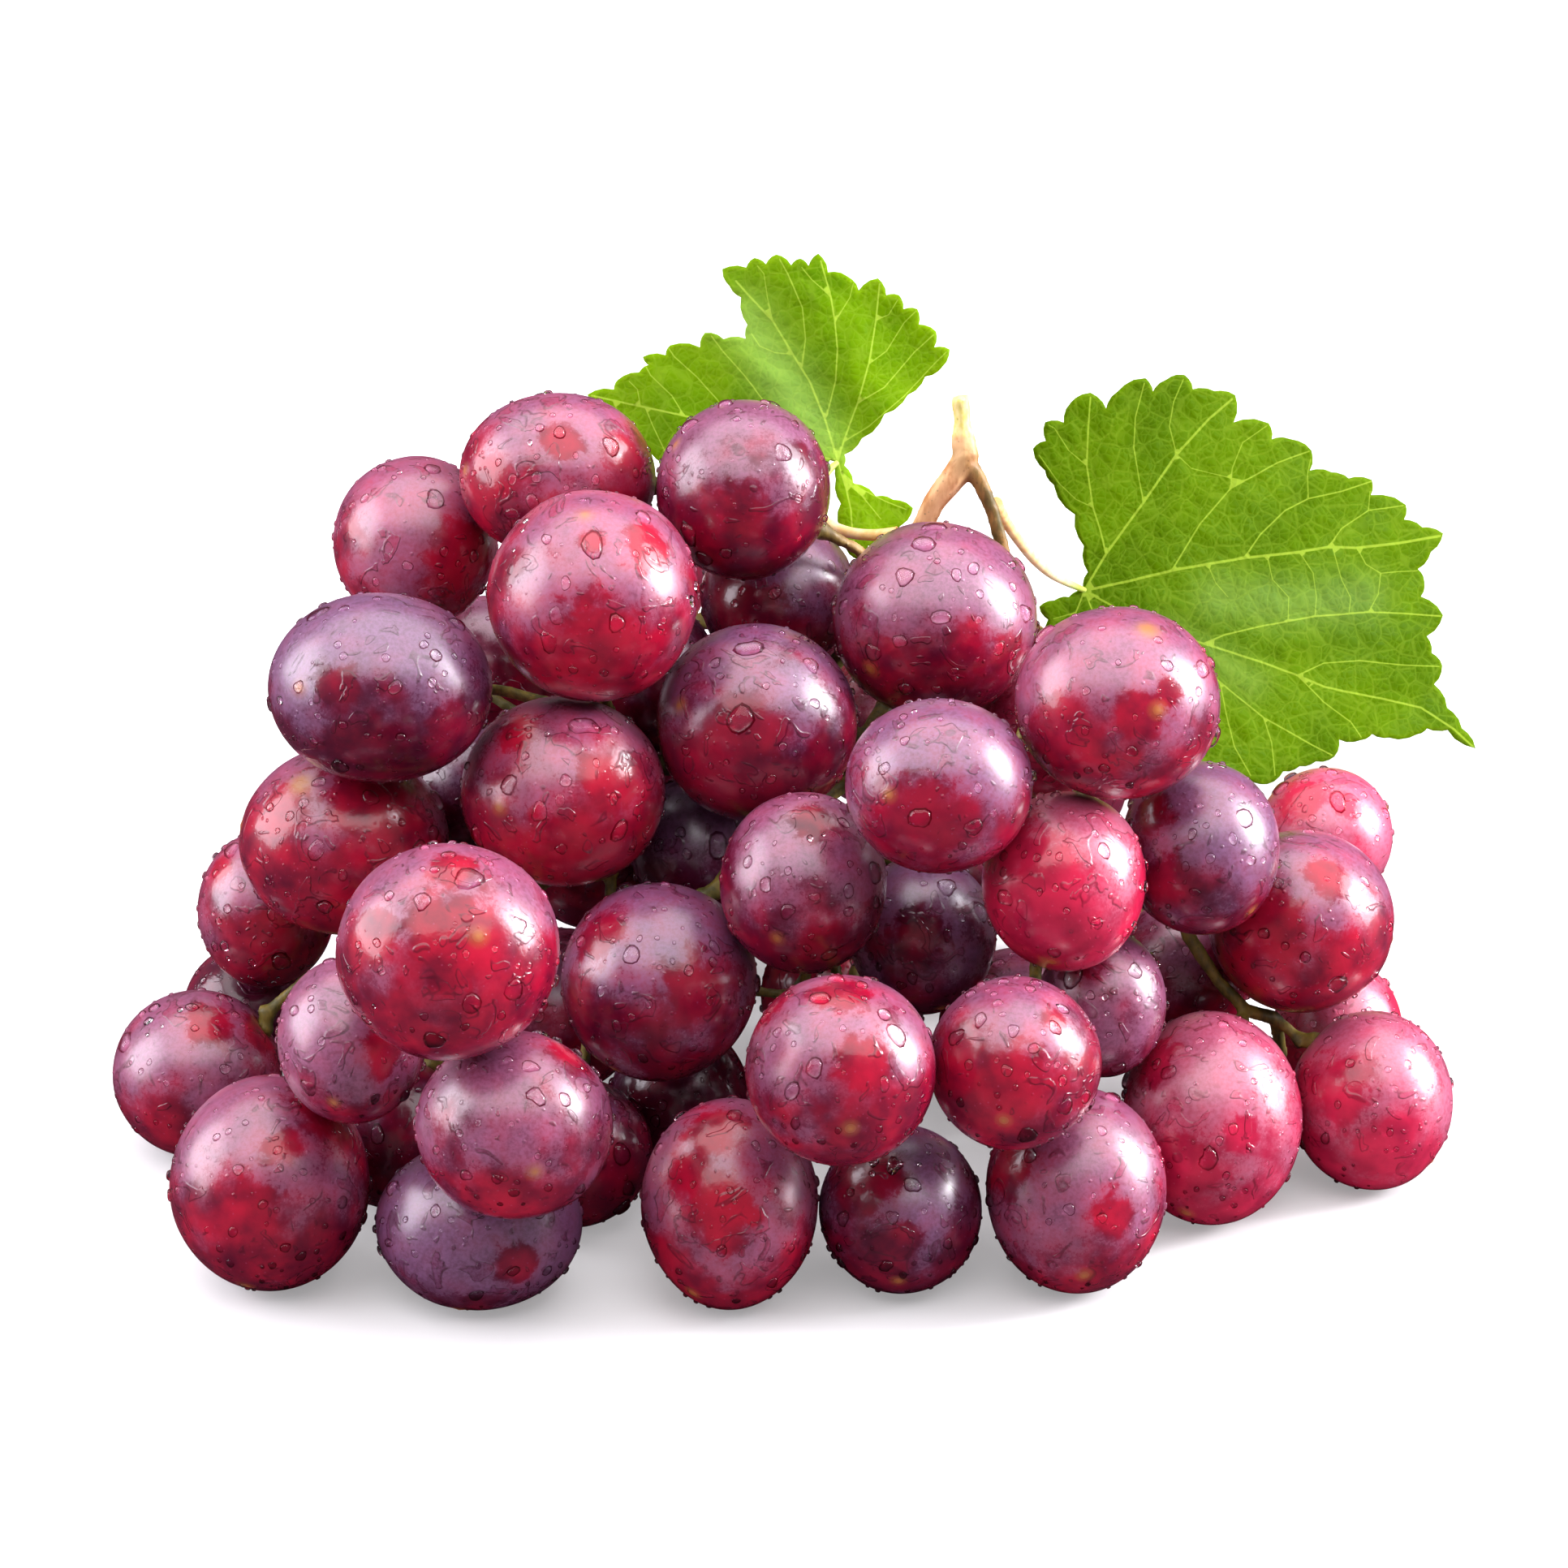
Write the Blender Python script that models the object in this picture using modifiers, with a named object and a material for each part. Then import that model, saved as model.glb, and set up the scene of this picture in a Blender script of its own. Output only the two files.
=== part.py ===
"""A bunch of large red table grapes with two leaves, lying on a table.

The berries are placed the way they are seen: each one keeps its place on a line of sight,
and a small settling rule finds how far along that line it lies, so that neighbours touch
and the lowest berries rest on the table. The stalk then grows through the free space
between the berries, from the cut peduncle to every one of them.

Lengths are millimetres, turned into metres by MM as each mesh is made.
"""
import heapq
import math

import bmesh
import bpy
import numpy as np
from mathutils import Matrix, Vector
from mathutils.geometry import delaunay_2d_cdt

MM = 0.001

# Line of sight
# The bunch is looked at from the front, 30 degrees above the table and 750 mm away.
SIGHT_TILT = math.radians(30)
SIGHT_DISTANCE = 750.0
SIGHT_AIM_HEIGHT = 56.0
PICTURE_MIDDLE = 966.0
MM_PER_PIXEL = 0.105

RIGHT = np.array([1.0, 0.0, 0.0])
AWAY = np.array([0.0, math.cos(SIGHT_TILT), -math.sin(SIGHT_TILT)])
UP = np.array([0.0, math.sin(SIGHT_TILT), math.cos(SIGHT_TILT)])
SIGHT_AXES = np.stack([RIGHT, UP, AWAY])
EYE = np.array([0.0, 0.0, SIGHT_AIM_HEIGHT]) - SIGHT_DISTANCE * AWAY

# Berries
# Each row: pixels across and down of the middle, width and height in mm, how much of the
# outline is seen (2 all of it, 1 most, 0 a glimpse), and whether it rests on the table.
# The rows go from the nearest berry to the furthest.
SEEN_BERRIES = [
    (1036, 1318, 24.8, 24.8, 2, False),
    (552, 1172, 29.0, 28.0, 2, False),
    (731, 734, 27.3, 27.5, 2, False),
    (1157, 968, 24.3, 22.7, 2, False),
    (990, 1088, 21.6, 23.5, 2, False),
    (1377, 866, 26.7, 25.0, 2, False),
    (468, 848, 29.0, 24.6, 2, False),
    (694, 975, 26.5, 24.8, 2, False),
    (812, 1209, 25.4, 25.8, 2, False),
    (1250, 1310, 22.3, 22.7, 2, False),
    (1311, 1086, 21.4, 23.3, 2, False),
    (932, 891, 26.2, 25.8, 2, False),
    (916, 603, 22.7, 23.3, 2, False),
    (1152, 764, 26.5, 25.4, 2, False),
    (424, 1036, 27.1, 24.4, 2, False),
    (634, 1387, 25.6, 24.4, 2, False),
    (433, 1282, 19.3, 21.8, 1, False),
    (901, 1483, 22.9, 27.3, 2, True),
    (1326, 1466, 23.3, 26.9, 2, True),
    (591, 1508, 26.7, 22.0, 2, True),
    (333, 1457, 26.0, 27.9, 2, True),
    (1108, 1490, 21.0, 21.8, 2, True),
    (687, 586, 25.6, 21.4, 2, False),
    (512, 668, 21.2, 22.3, 2, False),
    (1479, 1044, 20.6, 22.7, 2, False),
    (1603, 1135, 24.1, 23.7, 2, False),
    (1358, 1235, 16.6, 19.3, 1, False),
    (1492, 1378, 23.5, 27.7, 2, True),
    (244, 1322, 21.8, 21.6, 2, True),
    (1690, 1355, 21.0, 23.3, 2, True),
    (328, 1120, 17.6, 20.6, 1, False),
    (1632, 1030, 17.6, 17.6, 1, False),
    (1136, 1152, 19.3, 20.5, 1, False),
    (868, 1046, 19.3, 19.7, 0, False),
    (960, 735, 20.5, 20.0, 1, False),
    (1290, 895, 19.0, 19.0, 0, False),
    (1450, 1200, 18.9, 19.3, 0, False),
    (1650, 1275, 16.8, 18.9, 0, True),
    (800, 1370, 17.9, 18.9, 0, False),
    (480, 1400, 19.3, 20.0, 0, True),
    (590, 980, 18.5, 18.9, 0, False),
    (300, 1250, 16.8, 16.8, 0, False),
    (745, 1400, 20.2, 19.3, 0, True),
]

# Berries that the front ones hide: x, y and z of the middle, on the table where z is low.
HIDDEN_BERRIES = [
    (-45, 40, 11), (-15, 45, 11), (17.5, 48, 11), (42, 42, 11), (-30, 18, 11),
    (8, 20, 11), (36, 12, 11), (-41, 54, 42), (-12, 52, 36), (14, 50, 36),
    (-25, 25, 30), (36, 40, 34), (-22, 56, 55), (-19.3, 31.9, 54.5),
]
HIDDEN_DIAMETER = 22.5
TABLE_BERRY_Z = 14.0

FACE_SLOPE = 0.30       # how much further back a berry starts for each mm that it is higher
FACE_HOLLOW = 0.0022    # and for its distance from the middle, squared
SECOND_LAYER = 13.0     # and where other berries cover it
BERRY_GAP = 0.35        # between two berries that touch
REST_FLAT = 0.45        # how deep the flat spot cuts into a berry that rests
BERRY_SEGMENTS = 12
BERRY_RINGS = 8
FACET_GROWTH = 1.008    # makes up for the facets lying inside the round skin
GOLDEN_ANGLE = 2.4
DARK_BERRIES = {4, 7, 9, 12, 20, 22, 25, 33, 34, 35, 39, 40, 41, 42, 43, 57}
ROSE_BERRIES = {11, 28, 30, 32, 36, 38}

# Stalk
PEDUNCLE_RADII = [1.3, 1.25, 1.75, 1.9]
FORK_RADIUS = 1.9
PEDICEL_RADIUS = 0.85
STALK_GROWTH = 0.27     # how fast a stalk thickens with the number of berries it carries
STALK_MAX_RADIUS = 2.3
PEDICEL_END_RADIUS = 1.5
PEDICEL_END_LENGTH = 2.0
STALK_GAP = 0.3
SLIM_GROWTH = 1.1       # makes up for the flat sides of a four-sided pedicel

# How the stalk looks for its way
FREE_POINTS = 9000      # seeded points in and round the bunch
FREE_SPACING = 2.2
STALK_REACH = 42.0      # no stalk is further than this from the spine
LOWEST_STALK = 3.0
WANTED_ROOM = 2.6       # points are pushed until they are this far from the berries
LEAST_ROOM = 1.3
ROOMY = 1.7             # a swollen end or a straight stretch needs this much
LONGEST_LINK = 7.5      # between two points of the search
LONGEST_STEP = 14.0     # a straight stretch of stalk is no longer than this
STRAY_LENGTH = 24.0     # at this distance from the spine a way costs twice as much
SHOWN_COST = 5.0        # a way that is in sight costs this many times more
SHOWN_END_COST = 12.0
GUIDE_COST = 0.15       # a way along a guide is nearly free
BLADE_BEAD_RADIUS = 2.4 # round stand-ins for the leaves
BEAD_SPACING = 3.0
BATCH = 2000            # points measured against all berries at once

# Pixels across and down, and mm behind the middle plane, along each stalk that is in sight.
PEDUNCLE_PATH = [(1183, 488, 18), (1186, 520, 19), (1187, 542, 20), (1191, 566, 20)]
LEFT_BRANCH_PATH = [(1191, 566, 20), (1172, 592, 21), (1150, 620, 22.5), (1133, 655, 24.5)]
RIGHT_BRANCH_PATH = [(1191, 566, 20), (1207, 592, 20.5), (1224, 632, 22), (1238, 684, 23.5)]
SIDE_STALK_PATHS = [
    [(1465, 1155, 15), (1500, 1208, 16), (1534, 1244, 17), (1572, 1255, 20)],
    [(645, 812, 15), (615, 850, 14)],
]

# Leaves
# The outline runs round the blade from the leaf's junction with its stalk, in pixels
# across and down: every tooth tip and every notch between two teeth has a point.
LEAF_THICKNESS = 0.7
LEAF_MESH_STEP = 7.0
PETIOLE_RADIUS = 0.75
LEFT_JUNCTION = (1032, 569)
LEFT_LEAF_OUTLINE = [
    (1032, 569), (1028, 556), (1010, 578), (985, 590), (962, 584), (948, 596), (922, 588),
    (905, 600), (880, 586), (858, 590), (842, 572), (815, 570), (800, 552), (776, 546),
    (765, 528), (745, 520), (742, 503), (724, 487), (757, 480), (762, 468), (788, 459),
    (800, 450), (792, 440), (820, 438), (826, 426), (863, 428), (869, 410), (892, 418),
    (919, 418), (921, 400), (913, 366), (899, 352), (890, 332), (920, 330), (930, 318),
    (944, 326), (957, 314), (975, 327), (986, 319), (996, 328), (1008, 313), (1020, 336),
    (1044, 341), (1058, 358), (1082, 343), (1092, 364), (1108, 364), (1113, 381),
    (1130, 381), (1132, 400), (1153, 409), (1151, 428), (1170, 431), (1161, 452),
    (1140, 464), (1118, 487), (1090, 510), (1062, 540), (1040, 560), (1040, 574),
    (1051, 596), (1079, 612), (1100, 616), (1125, 626), (1112, 646), (1096, 652),
    (1088, 668), (1070, 672), (1058, 690), (1042, 676), (1034, 650), (1036, 620),
    (1030, 590),
]
RIGHT_JUNCTION = (1335, 727)
RIGHT_LEAF_OUTLINE = [
    (1335, 727), (1341, 705), (1336, 673), (1325, 634), (1299, 598), (1288, 580),
    (1273, 553), (1289, 543), (1288, 520), (1311, 521), (1320, 496), (1343, 484),
    (1363, 505), (1378, 482), (1411, 466), (1420, 485), (1438, 468), (1459, 462),
    (1469, 480), (1496, 482), (1521, 487), (1519, 521), (1562, 521), (1566, 542),
    (1590, 541), (1615, 555), (1613, 580), (1641, 582), (1662, 590), (1689, 591),
    (1688, 610), (1731, 622), (1729, 640), (1752, 650), (1777, 657), (1762, 680),
    (1746, 701), (1754, 716), (1750, 735), (1777, 758), (1757, 784), (1763, 804),
    (1776, 820), (1766, 843), (1782, 872), (1800, 897), (1817, 922), (1784, 899),
    (1758, 897), (1745, 905), (1712, 909), (1690, 904), (1675, 912), (1649, 911),
    (1643, 932), (1620, 938), (1600, 944), (1580, 950), (1560, 966), (1535, 958),
    (1512, 962), (1490, 942), (1462, 940), (1440, 915), (1410, 905), (1392, 880),
    (1362, 868), (1345, 840), (1318, 826), (1310, 800), (1290, 790), (1292, 764),
    (1281, 748), (1300, 740), (1318, 736),
]
LEFT_PETIOLE_PATH = [
    (1106, 657, 24.8), (1085, 660, 25.5), (1048, 658, 27),
    (1016, 645, 29.5), (1004, 612, 32), (1014, 583, 34), (1032, 570, 35),
]
RIGHT_PETIOLE_PATH = [
    (1227, 620, 23.5), (1236, 638, 29), (1252, 662, 40), (1276, 692, 53),
    (1306, 715, 64), (1336, 727, 71.5),
]


def seen_at(across, down, behind):
    """The point on the line of sight through a pixel, some mm behind the middle plane."""
    slope = AWAY + RIGHT * (across - PICTURE_MIDDLE) * MM_PER_PIXEL / SIGHT_DISTANCE
    slope = slope + UP * (PICTURE_MIDDLE - down) * MM_PER_PIXEL / SIGHT_DISTANCE
    return EYE + slope * (SIGHT_DISTANCE + behind)


def leaf_depth_left(across, down):
    """How far behind the middle plane the left leaf lies: it leans back and curls a little."""
    x = (across - LEFT_JUNCTION[0]) * MM_PER_PIXEL
    u = (LEFT_JUNCTION[1] - down) * MM_PER_PIXEL
    fold = 0.10 * math.sqrt(x * x + 4.0)
    return 35.0 + 0.24 * u + 0.0035 * x * x + fold + 0.5 * math.sin(0.45 * x + 0.3 * u)


def leaf_depth_right(across, down):
    """The right leaf turns away from the bunch and falls to the table at its long tail."""
    x = (across - RIGHT_JUNCTION[0]) * MM_PER_PIXEL
    u = (RIGHT_JUNCTION[1] - down) * MM_PER_PIXEL
    return 72.0 + 0.55 * x + 0.0063 * x * x - 0.20 * u + 0.6 * math.sin(0.35 * x - 0.4 * u)


# Settling the berries

def half_height(semi):
    """Half the height along Z of an ellipsoid whose axes are the sight axes."""
    return np.sqrt((semi[:, 1] * math.cos(SIGHT_TILT)) ** 2
                   + (semi[:, 2] * math.sin(SIGHT_TILT)) ** 2)


def first_depths(rows):
    """A sloping, slightly hollow face: higher and outer berries start further back."""
    depths = []
    for across, down, _, _, seen, _ in rows:
        x = (across - PICTURE_MIDDLE) * MM_PER_PIXEL
        u = (PICTURE_MIDDLE - down) * MM_PER_PIXEL
        layer = SECOND_LAYER if seen < 2 else 0.0
        depths.append(FACE_SLOPE * (u + 60.0) + FACE_HOLLOW * x * x - 12.0 + layer)
    return np.array(depths)


def pair_misses(centres, semi, first, second):
    """Vector, distance and missing distance of every pair, along the pair's own line."""
    step = centres[second] - centres[first]
    distance = np.linalg.norm(step, axis=1)
    local = (step / distance[:, None]) @ SIGHT_AXES.T
    reach = np.sqrt(((semi[first] * local) ** 2).sum(1))
    reach = reach + np.sqrt(((semi[second] * local) ** 2).sum(1))
    return step, distance, reach + BERRY_GAP - distance, reach + BERRY_GAP


def settle_berries():
    """Push berries along their lines of sight until none crosses another."""
    rounds = 900
    gentle = 0.010
    count = len(SEEN_BERRIES)
    rows = np.array([row[:5] for row in SEEN_BERRIES], dtype=float)
    rests = np.array([row[5] for row in SEEN_BERRIES])
    seen = rows[:, 4]
    slopes = np.array([seen_at(a, d, 0) - EYE for a, d in rows[:, :2]]) / SIGHT_DISTANCE
    home = SIGHT_DISTANCE + first_depths(SEEN_BERRIES)
    hidden_home = np.array(HIDDEN_BERRIES, dtype=float)
    hidden_rests = hidden_home[:, 2] < TABLE_BERRY_Z
    centres = np.vstack([EYE + slopes * home[:, None], hidden_home])
    total = len(centres)
    base = np.full((total, 3), HIDDEN_DIAMETER / 2)
    base[:count, 0] = rows[:, 2] / 2
    base[:count, 1] = rows[:, 3] / 2
    base[:count, 2] = np.minimum(base[:count, 0], base[:count, 1])
    first, second = np.triu_indices(total, 1)
    sideways = np.where(seen == 2, 0.0, np.where(seen == 1, 0.10, 0.5))
    back_to_line = np.where(seen == 2, 1.0, np.where(seen == 1, 0.25, 0.04))[:, None]

    for turn in range(rounds):
        grow = np.ones(total)
        grow[:count] = ((centres[:count] - EYE) @ AWAY) / SIGHT_DISTANCE
        semi = base * grow[:, None]
        step, distance, miss, need = pair_misses(centres, semi, first, second)
        push = np.zeros((total, 3))
        for pair in np.where(miss > 0)[0]:
            i, j = first[pair], second[pair]
            direction = step[pair] / distance[pair]
            in_order = j < count and seen[i] + seen[j] >= 1
            if in_order:
                # the row order says which of the two is nearer
                deep = step[pair] @ AWAY
                wanted = math.sqrt(max(need[pair] ** 2 - distance[pair] ** 2 + deep * deep, 0.0))
                shift = min(max(wanted - deep, 0.0), 4.0)
                share = 1.0 if rests[j] and not rests[i] else 0.5
                share = 0.0 if rests[i] and not rests[j] else share
                push[i] -= AWAY * shift * share * 0.45
                push[j] += AWAY * shift * (1.0 - share) * 0.45
                aside = direction - AWAY * (direction @ AWAY)
                push[i] -= aside * miss[pair] * 0.5 * sideways[i]
                push[j] += aside * miss[pair] * 0.5 * sideways[j]
            else:
                part_i = 0.5 if i >= count else (0.12 if seen[i] == 2 else 0.4)
                part_j = 0.5 if j >= count else (0.12 if seen[j] == 2 else 0.4)
                push[i] -= direction * miss[pair] * part_i
                push[j] += direction * miss[pair] * part_j
        centres = centres + push
        settled = turn > 0.7 * rounds
        pull = 0.0 if settled else gentle
        rel = centres[:count] - EYE
        along = (rel * slopes).sum(1) / (slopes * slopes).sum(1)
        centres[:count] += (EYE + slopes * along[:, None] - centres[:count]) * back_to_line
        centres[:count] += slopes * (pull * (home - along))[:, None]
        centres[count:] += pull * (hidden_home - centres[count:])
        low = half_height(semi) - REST_FLAT
        for i in range(count):
            lift = low[i] - centres[i, 2]
            if lift > 0 or rests[i]:
                centres[i] += slopes[i] * (lift / slopes[i, 2])
        for i in range(count, total):
            if hidden_rests[i - count] or centres[i, 2] < low[i]:
                centres[i, 2] = low[i]

    # the last tenths of a millimetre are shared out freely
    lowest = half_height(semi) - REST_FLAT
    standing = np.concatenate([rests, hidden_rests])
    for _ in range(200):
        step, distance, miss, need = pair_misses(centres, semi, first, second)
        for pair in np.where(miss > 0)[0]:
            i, j = first[pair], second[pair]
            nudge = step[pair] / distance[pair] * miss[pair] * 0.5
            centres[i] -= nudge
            centres[j] += nudge
        centres[:, 2] = np.where(standing, lowest, np.maximum(centres[:, 2], lowest))
    return centres, semi


# Growing the stalk

def clearance(points, centres, semi):
    """Distance from every point to every berry's skin, along the line to its middle."""
    step = points[:, None, :] - centres[None]
    inside = np.linalg.norm((step @ SIGHT_AXES.T) / semi[None], axis=2)
    distance = np.linalg.norm(step, axis=2)
    return distance * (1.0 - 1.0 / np.maximum(inside, 1e-6)) * 0.98


def nearest_clearance(points, centres, semi):
    batches = [clearance(points[a:a + BATCH], centres, semi).min(1)
               for a in range(0, len(points), BATCH)]
    return np.concatenate(batches)


def distance_to_lines(points, lines):
    best = np.full(len(points), 1e9)
    for line in lines:
        line = np.array(line, dtype=float)
        for a, b in zip(line[:-1], line[1:]):
            ab = b - a
            part = np.clip(((points - a) @ ab) / (ab @ ab), 0.0, 1.0)
            foot = a + part[:, None] * ab
            best = np.minimum(best, np.linalg.norm(points - foot, axis=1))
    return best


def thin_out(points, order, spacing):
    """Keep points in the given order that are at least a spacing from those kept before."""
    kept = []
    cells = {}
    near = [(a, b, c) for a in (-1, 0, 1) for b in (-1, 0, 1) for c in (-1, 0, 1)]
    for index in order:
        key = tuple((points[index] // spacing).astype(int))
        close = False
        for a, b, c in near:
            for other in cells.get((key[0] + a, key[1] + b, key[2] + c), ()):
                if np.sum((points[index] - points[other]) ** 2) < spacing ** 2:
                    close = True
        if not close:
            kept.append(index)
            cells.setdefault(key, []).append(index)
    return kept


def free_points(centres, semi, spine, berries):
    """Seeded points in the space between the berries, pushed to the middle of their gaps."""
    rng = np.random.default_rng(7)
    low = centres[:berries].min(0) - 10.0
    high = centres[:berries].max(0) + 6.0
    low[2] = LOWEST_STALK
    points = low + rng.random((FREE_POINTS, 3)) * (high - low)
    for _ in range(12):
        room = clearance(points, centres, semi)
        nearest = np.argsort(room, axis=1)[:, :2]
        for k in (0, 1):
            who = nearest[:, k]
            away = points - centres[who]
            away = away / np.linalg.norm(away, axis=1)[:, None]
            lack = np.clip(WANTED_ROOM - room[np.arange(len(points)), who], 0.0, 1.2)
            points = points + away * lack[:, None] * 0.45
    points[:, 2] = np.maximum(points[:, 2], LOWEST_STALK)
    room = nearest_clearance(points, centres, semi)
    points = points[(room > LEAST_ROOM) & (distance_to_lines(points, spine) < STALK_REACH)]
    room = nearest_clearance(points, centres, semi)
    return points[thin_out(points, np.argsort(-room), FREE_SPACING)]


def in_sight(points, centres, semi):
    """1.0 for each point that no berry hides from the eye, else 0.0."""
    start = ((EYE - centres) @ SIGHT_AXES.T) / semi
    ray = ((points[:, None, :] - EYE) @ SIGHT_AXES.T) / semi[None]
    along = np.clip(-(ray * start[None]).sum(2) / (ray * ray).sum(2), 0.0, 1.0)
    nearest = start[None] + ray * along[:, :, None]
    return (np.linalg.norm(nearest, axis=2).min(1) > 1.0).astype(float)


def leaf_beads():
    """Small round stand-ins along the leaves, which the stalks have to pass by."""
    beads = []
    for path in (LEFT_PETIOLE_PATH, RIGHT_PETIOLE_PATH):
        knots = [seen_at(*pixel) for pixel in path]
        for a, b in zip(knots[:-1], knots[1:]):
            steps = max(2, int(np.linalg.norm(b - a) / 1.5))
            beads += [(a + (b - a) * k / steps, PETIOLE_RADIUS + 0.1) for k in range(steps)]
    for outline, depth_of in ((LEFT_LEAF_OUTLINE, leaf_depth_left),
                              (RIGHT_LEAF_OUTLINE, leaf_depth_right)):
        edge = [Vector(pixel) for pixel in outline]
        spacing = BEAD_SPACING / MM_PER_PIXEL
        for y in np.arange(min(p.y for p in edge), max(p.y for p in edge), spacing):
            for x in np.arange(min(p.x for p in edge), max(p.x for p in edge), spacing):
                point = Vector((float(x), float(y)))
                if well_inside(point, edge, 2.0):
                    beads.append((seen_at(x, y, depth_of(x, y)), BLADE_BEAD_RADIUS))
    places = np.array([place for place, radius in beads])
    sizes = np.array([[radius] * 3 for place, radius in beads])
    return places, sizes


def grow_stalks(centres, semi, roots, spine, guides, berries):
    """The cheapest way from the two branch ends to each berry, kept as one tree.

    A way is cheap where it is short, has room round it and keeps near the spine.
    """
    free = free_points(centres, semi, spine, berries)
    points = np.vstack([roots] + guides + [free])
    total = len(points)
    off_spine = distance_to_lines(points, spine)
    gap2 = ((points[:, None] - points[None]) ** 2).sum(2)
    first, second = np.where((gap2 < LONGEST_LINK ** 2) & (gap2 > 0))
    once = first < second
    first, second = first[once], second[once]
    room = np.full(len(first), 9.0)
    for part in np.linspace(0, 1, 9):
        between = points[first] * (1 - part) + points[second] * part
        room = np.minimum(room, nearest_clearance(between, centres, semi))
    clear = room > PEDICEL_RADIUS + STALK_GAP - 0.03
    first, second, room = first[clear], second[clear], room[clear]
    length = np.sqrt(gap2[first, second])
    stray = 1.0 + (0.5 * (off_spine[first] + off_spine[second]) / STRAY_LENGTH) ** 2
    shown = in_sight(points, centres[:berries], semi[:berries])
    # the guides are the stalks that are meant to be in sight
    shown[len(roots):total - len(free)] = False
    exposed = 1.0 + (SHOWN_COST - 1.0) * 0.5 * (shown[first] + shown[second])
    cost = length * (1.0 + 1.2 / room) * stray * exposed
    start = len(roots)
    for guide in guides:
        inside = (first >= start) & (second < start + len(guide))
        cost[inside] *= GUIDE_COST
        start += len(guide)
    ways = [[] for _ in range(total)]
    for a, b, c in zip(first, second, cost):
        ways[a].append((b, c))
        ways[b].append((a, c))
    spent = np.full(total, np.inf)
    parent = np.full(total, -1)
    heap = [(0.0, r) for r in range(len(roots))]
    spent[:len(roots)] = 0.0
    while heap:
        so_far, here = heapq.heappop(heap)
        if so_far > spent[here]:
            continue
        for there, c in ways[here]:
            if so_far + c < spent[there] - 1e-9:
                spent[there] = so_far + c
                parent[there] = here
                heapq.heappush(heap, (so_far + c, there))
    ends = [berry_end(k, points, spent, shown, centres, semi) for k in range(berries)]
    return points, parent, ends


def berry_end(berry, points, spent, shown, centres, semi):
    """Where a pedicel leaves the tree for one berry: tree point, tip on the skin, room there."""
    step = points - centres[berry]
    distance = np.linalg.norm(step, axis=1)
    direction = step / distance[:, None]
    skin = 1.0 / np.sqrt((((direction @ SIGHT_AXES.T) / semi[berry]) ** 2).sum(1))
    gap = distance - skin
    found = np.where((gap > 2.6) & (gap < 9.0) & np.isfinite(spent))[0]
    tip = centres[berry] + direction[found] * (skin[found] + STALK_GAP)[:, None]
    others = np.arange(len(centres)) != berry
    room = np.full(len(found), 9.0)
    for part in np.linspace(0, 1, 6):
        between = points[found] * (1 - part) + tip * part
        room = np.minimum(room, nearest_clearance(between, centres[others], semi[others]))
    end_room = nearest_clearance(tip, centres[others], semi[others])
    facing = np.maximum(0.0, 0.15 - direction[found] @ AWAY)
    total = spent[found] + gap[found] * 1.2 + 30.0 * facing + SHOWN_END_COST * shown[found]
    tight = (room < PEDICEL_RADIUS + STALK_GAP - 0.05) | (end_room < ROOMY)
    total[tight] = np.inf
    best = int(np.argmin(total))
    if not np.isfinite(total[best]):
        raise RuntimeError(f"no way for a pedicel to berry {berry + 1}")
    return int(found[best]), tip[best], float(end_room[best])


def straighten(points, parent, ends, centres, semi, fixed):
    """Leave out tree points that a stalk can pass by in a straight line."""
    parent = parent.copy()
    kept_ends = {node for node, tip, room in ends}
    changed = True
    while changed:
        changed = False
        children = {}
        for node in tree_nodes(parent, ends):
            children.setdefault(int(parent[node]), []).append(node)
        for node in tree_nodes(parent, ends):
            kids = children.get(node, [])
            before = int(parent[node])
            if before < 0 or node < fixed or node in kept_ends or len(kids) != 1:
                continue
            if int(parent[kids[0]]) != node or int(parent[node]) != before:
                continue
            span = np.linspace(0, 1, 12)[:, None]
            line = points[before] * (1 - span) + points[kids[0]] * span
            long_step = np.linalg.norm(points[before] - points[kids[0]]) > LONGEST_STEP
            if long_step or nearest_clearance(line, centres, semi).min() < ROOMY:
                continue
            parent[kids[0]] = before
            children[before].remove(node)
            children[before].append(kids[0])
            children[node] = []
            changed = True
    return parent


def tree_nodes(parent, ends):
    """Every tree point on the way from the roots to the berries, parents first."""
    found = []
    known = set()
    for node, tip, room in ends:
        way = []
        while node >= 0 and node not in known:
            known.add(node)
            way.append(int(node))
            node = int(parent[node])
        found += reversed(way)
    return found


def room_along(points, parent, ends, centres, semi):
    """The tightest gap on the way from each tree point back to the one before it."""
    width = np.full(len(points), 9.0)
    for node in tree_nodes(parent, ends):
        if parent[node] >= 0:
            span = np.linspace(0, 1, 12)[:, None]
            line = points[parent[node]] * (1 - span) + points[node] * span
            width[node] = nearest_clearance(line, centres, semi).min()
    return width


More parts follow.
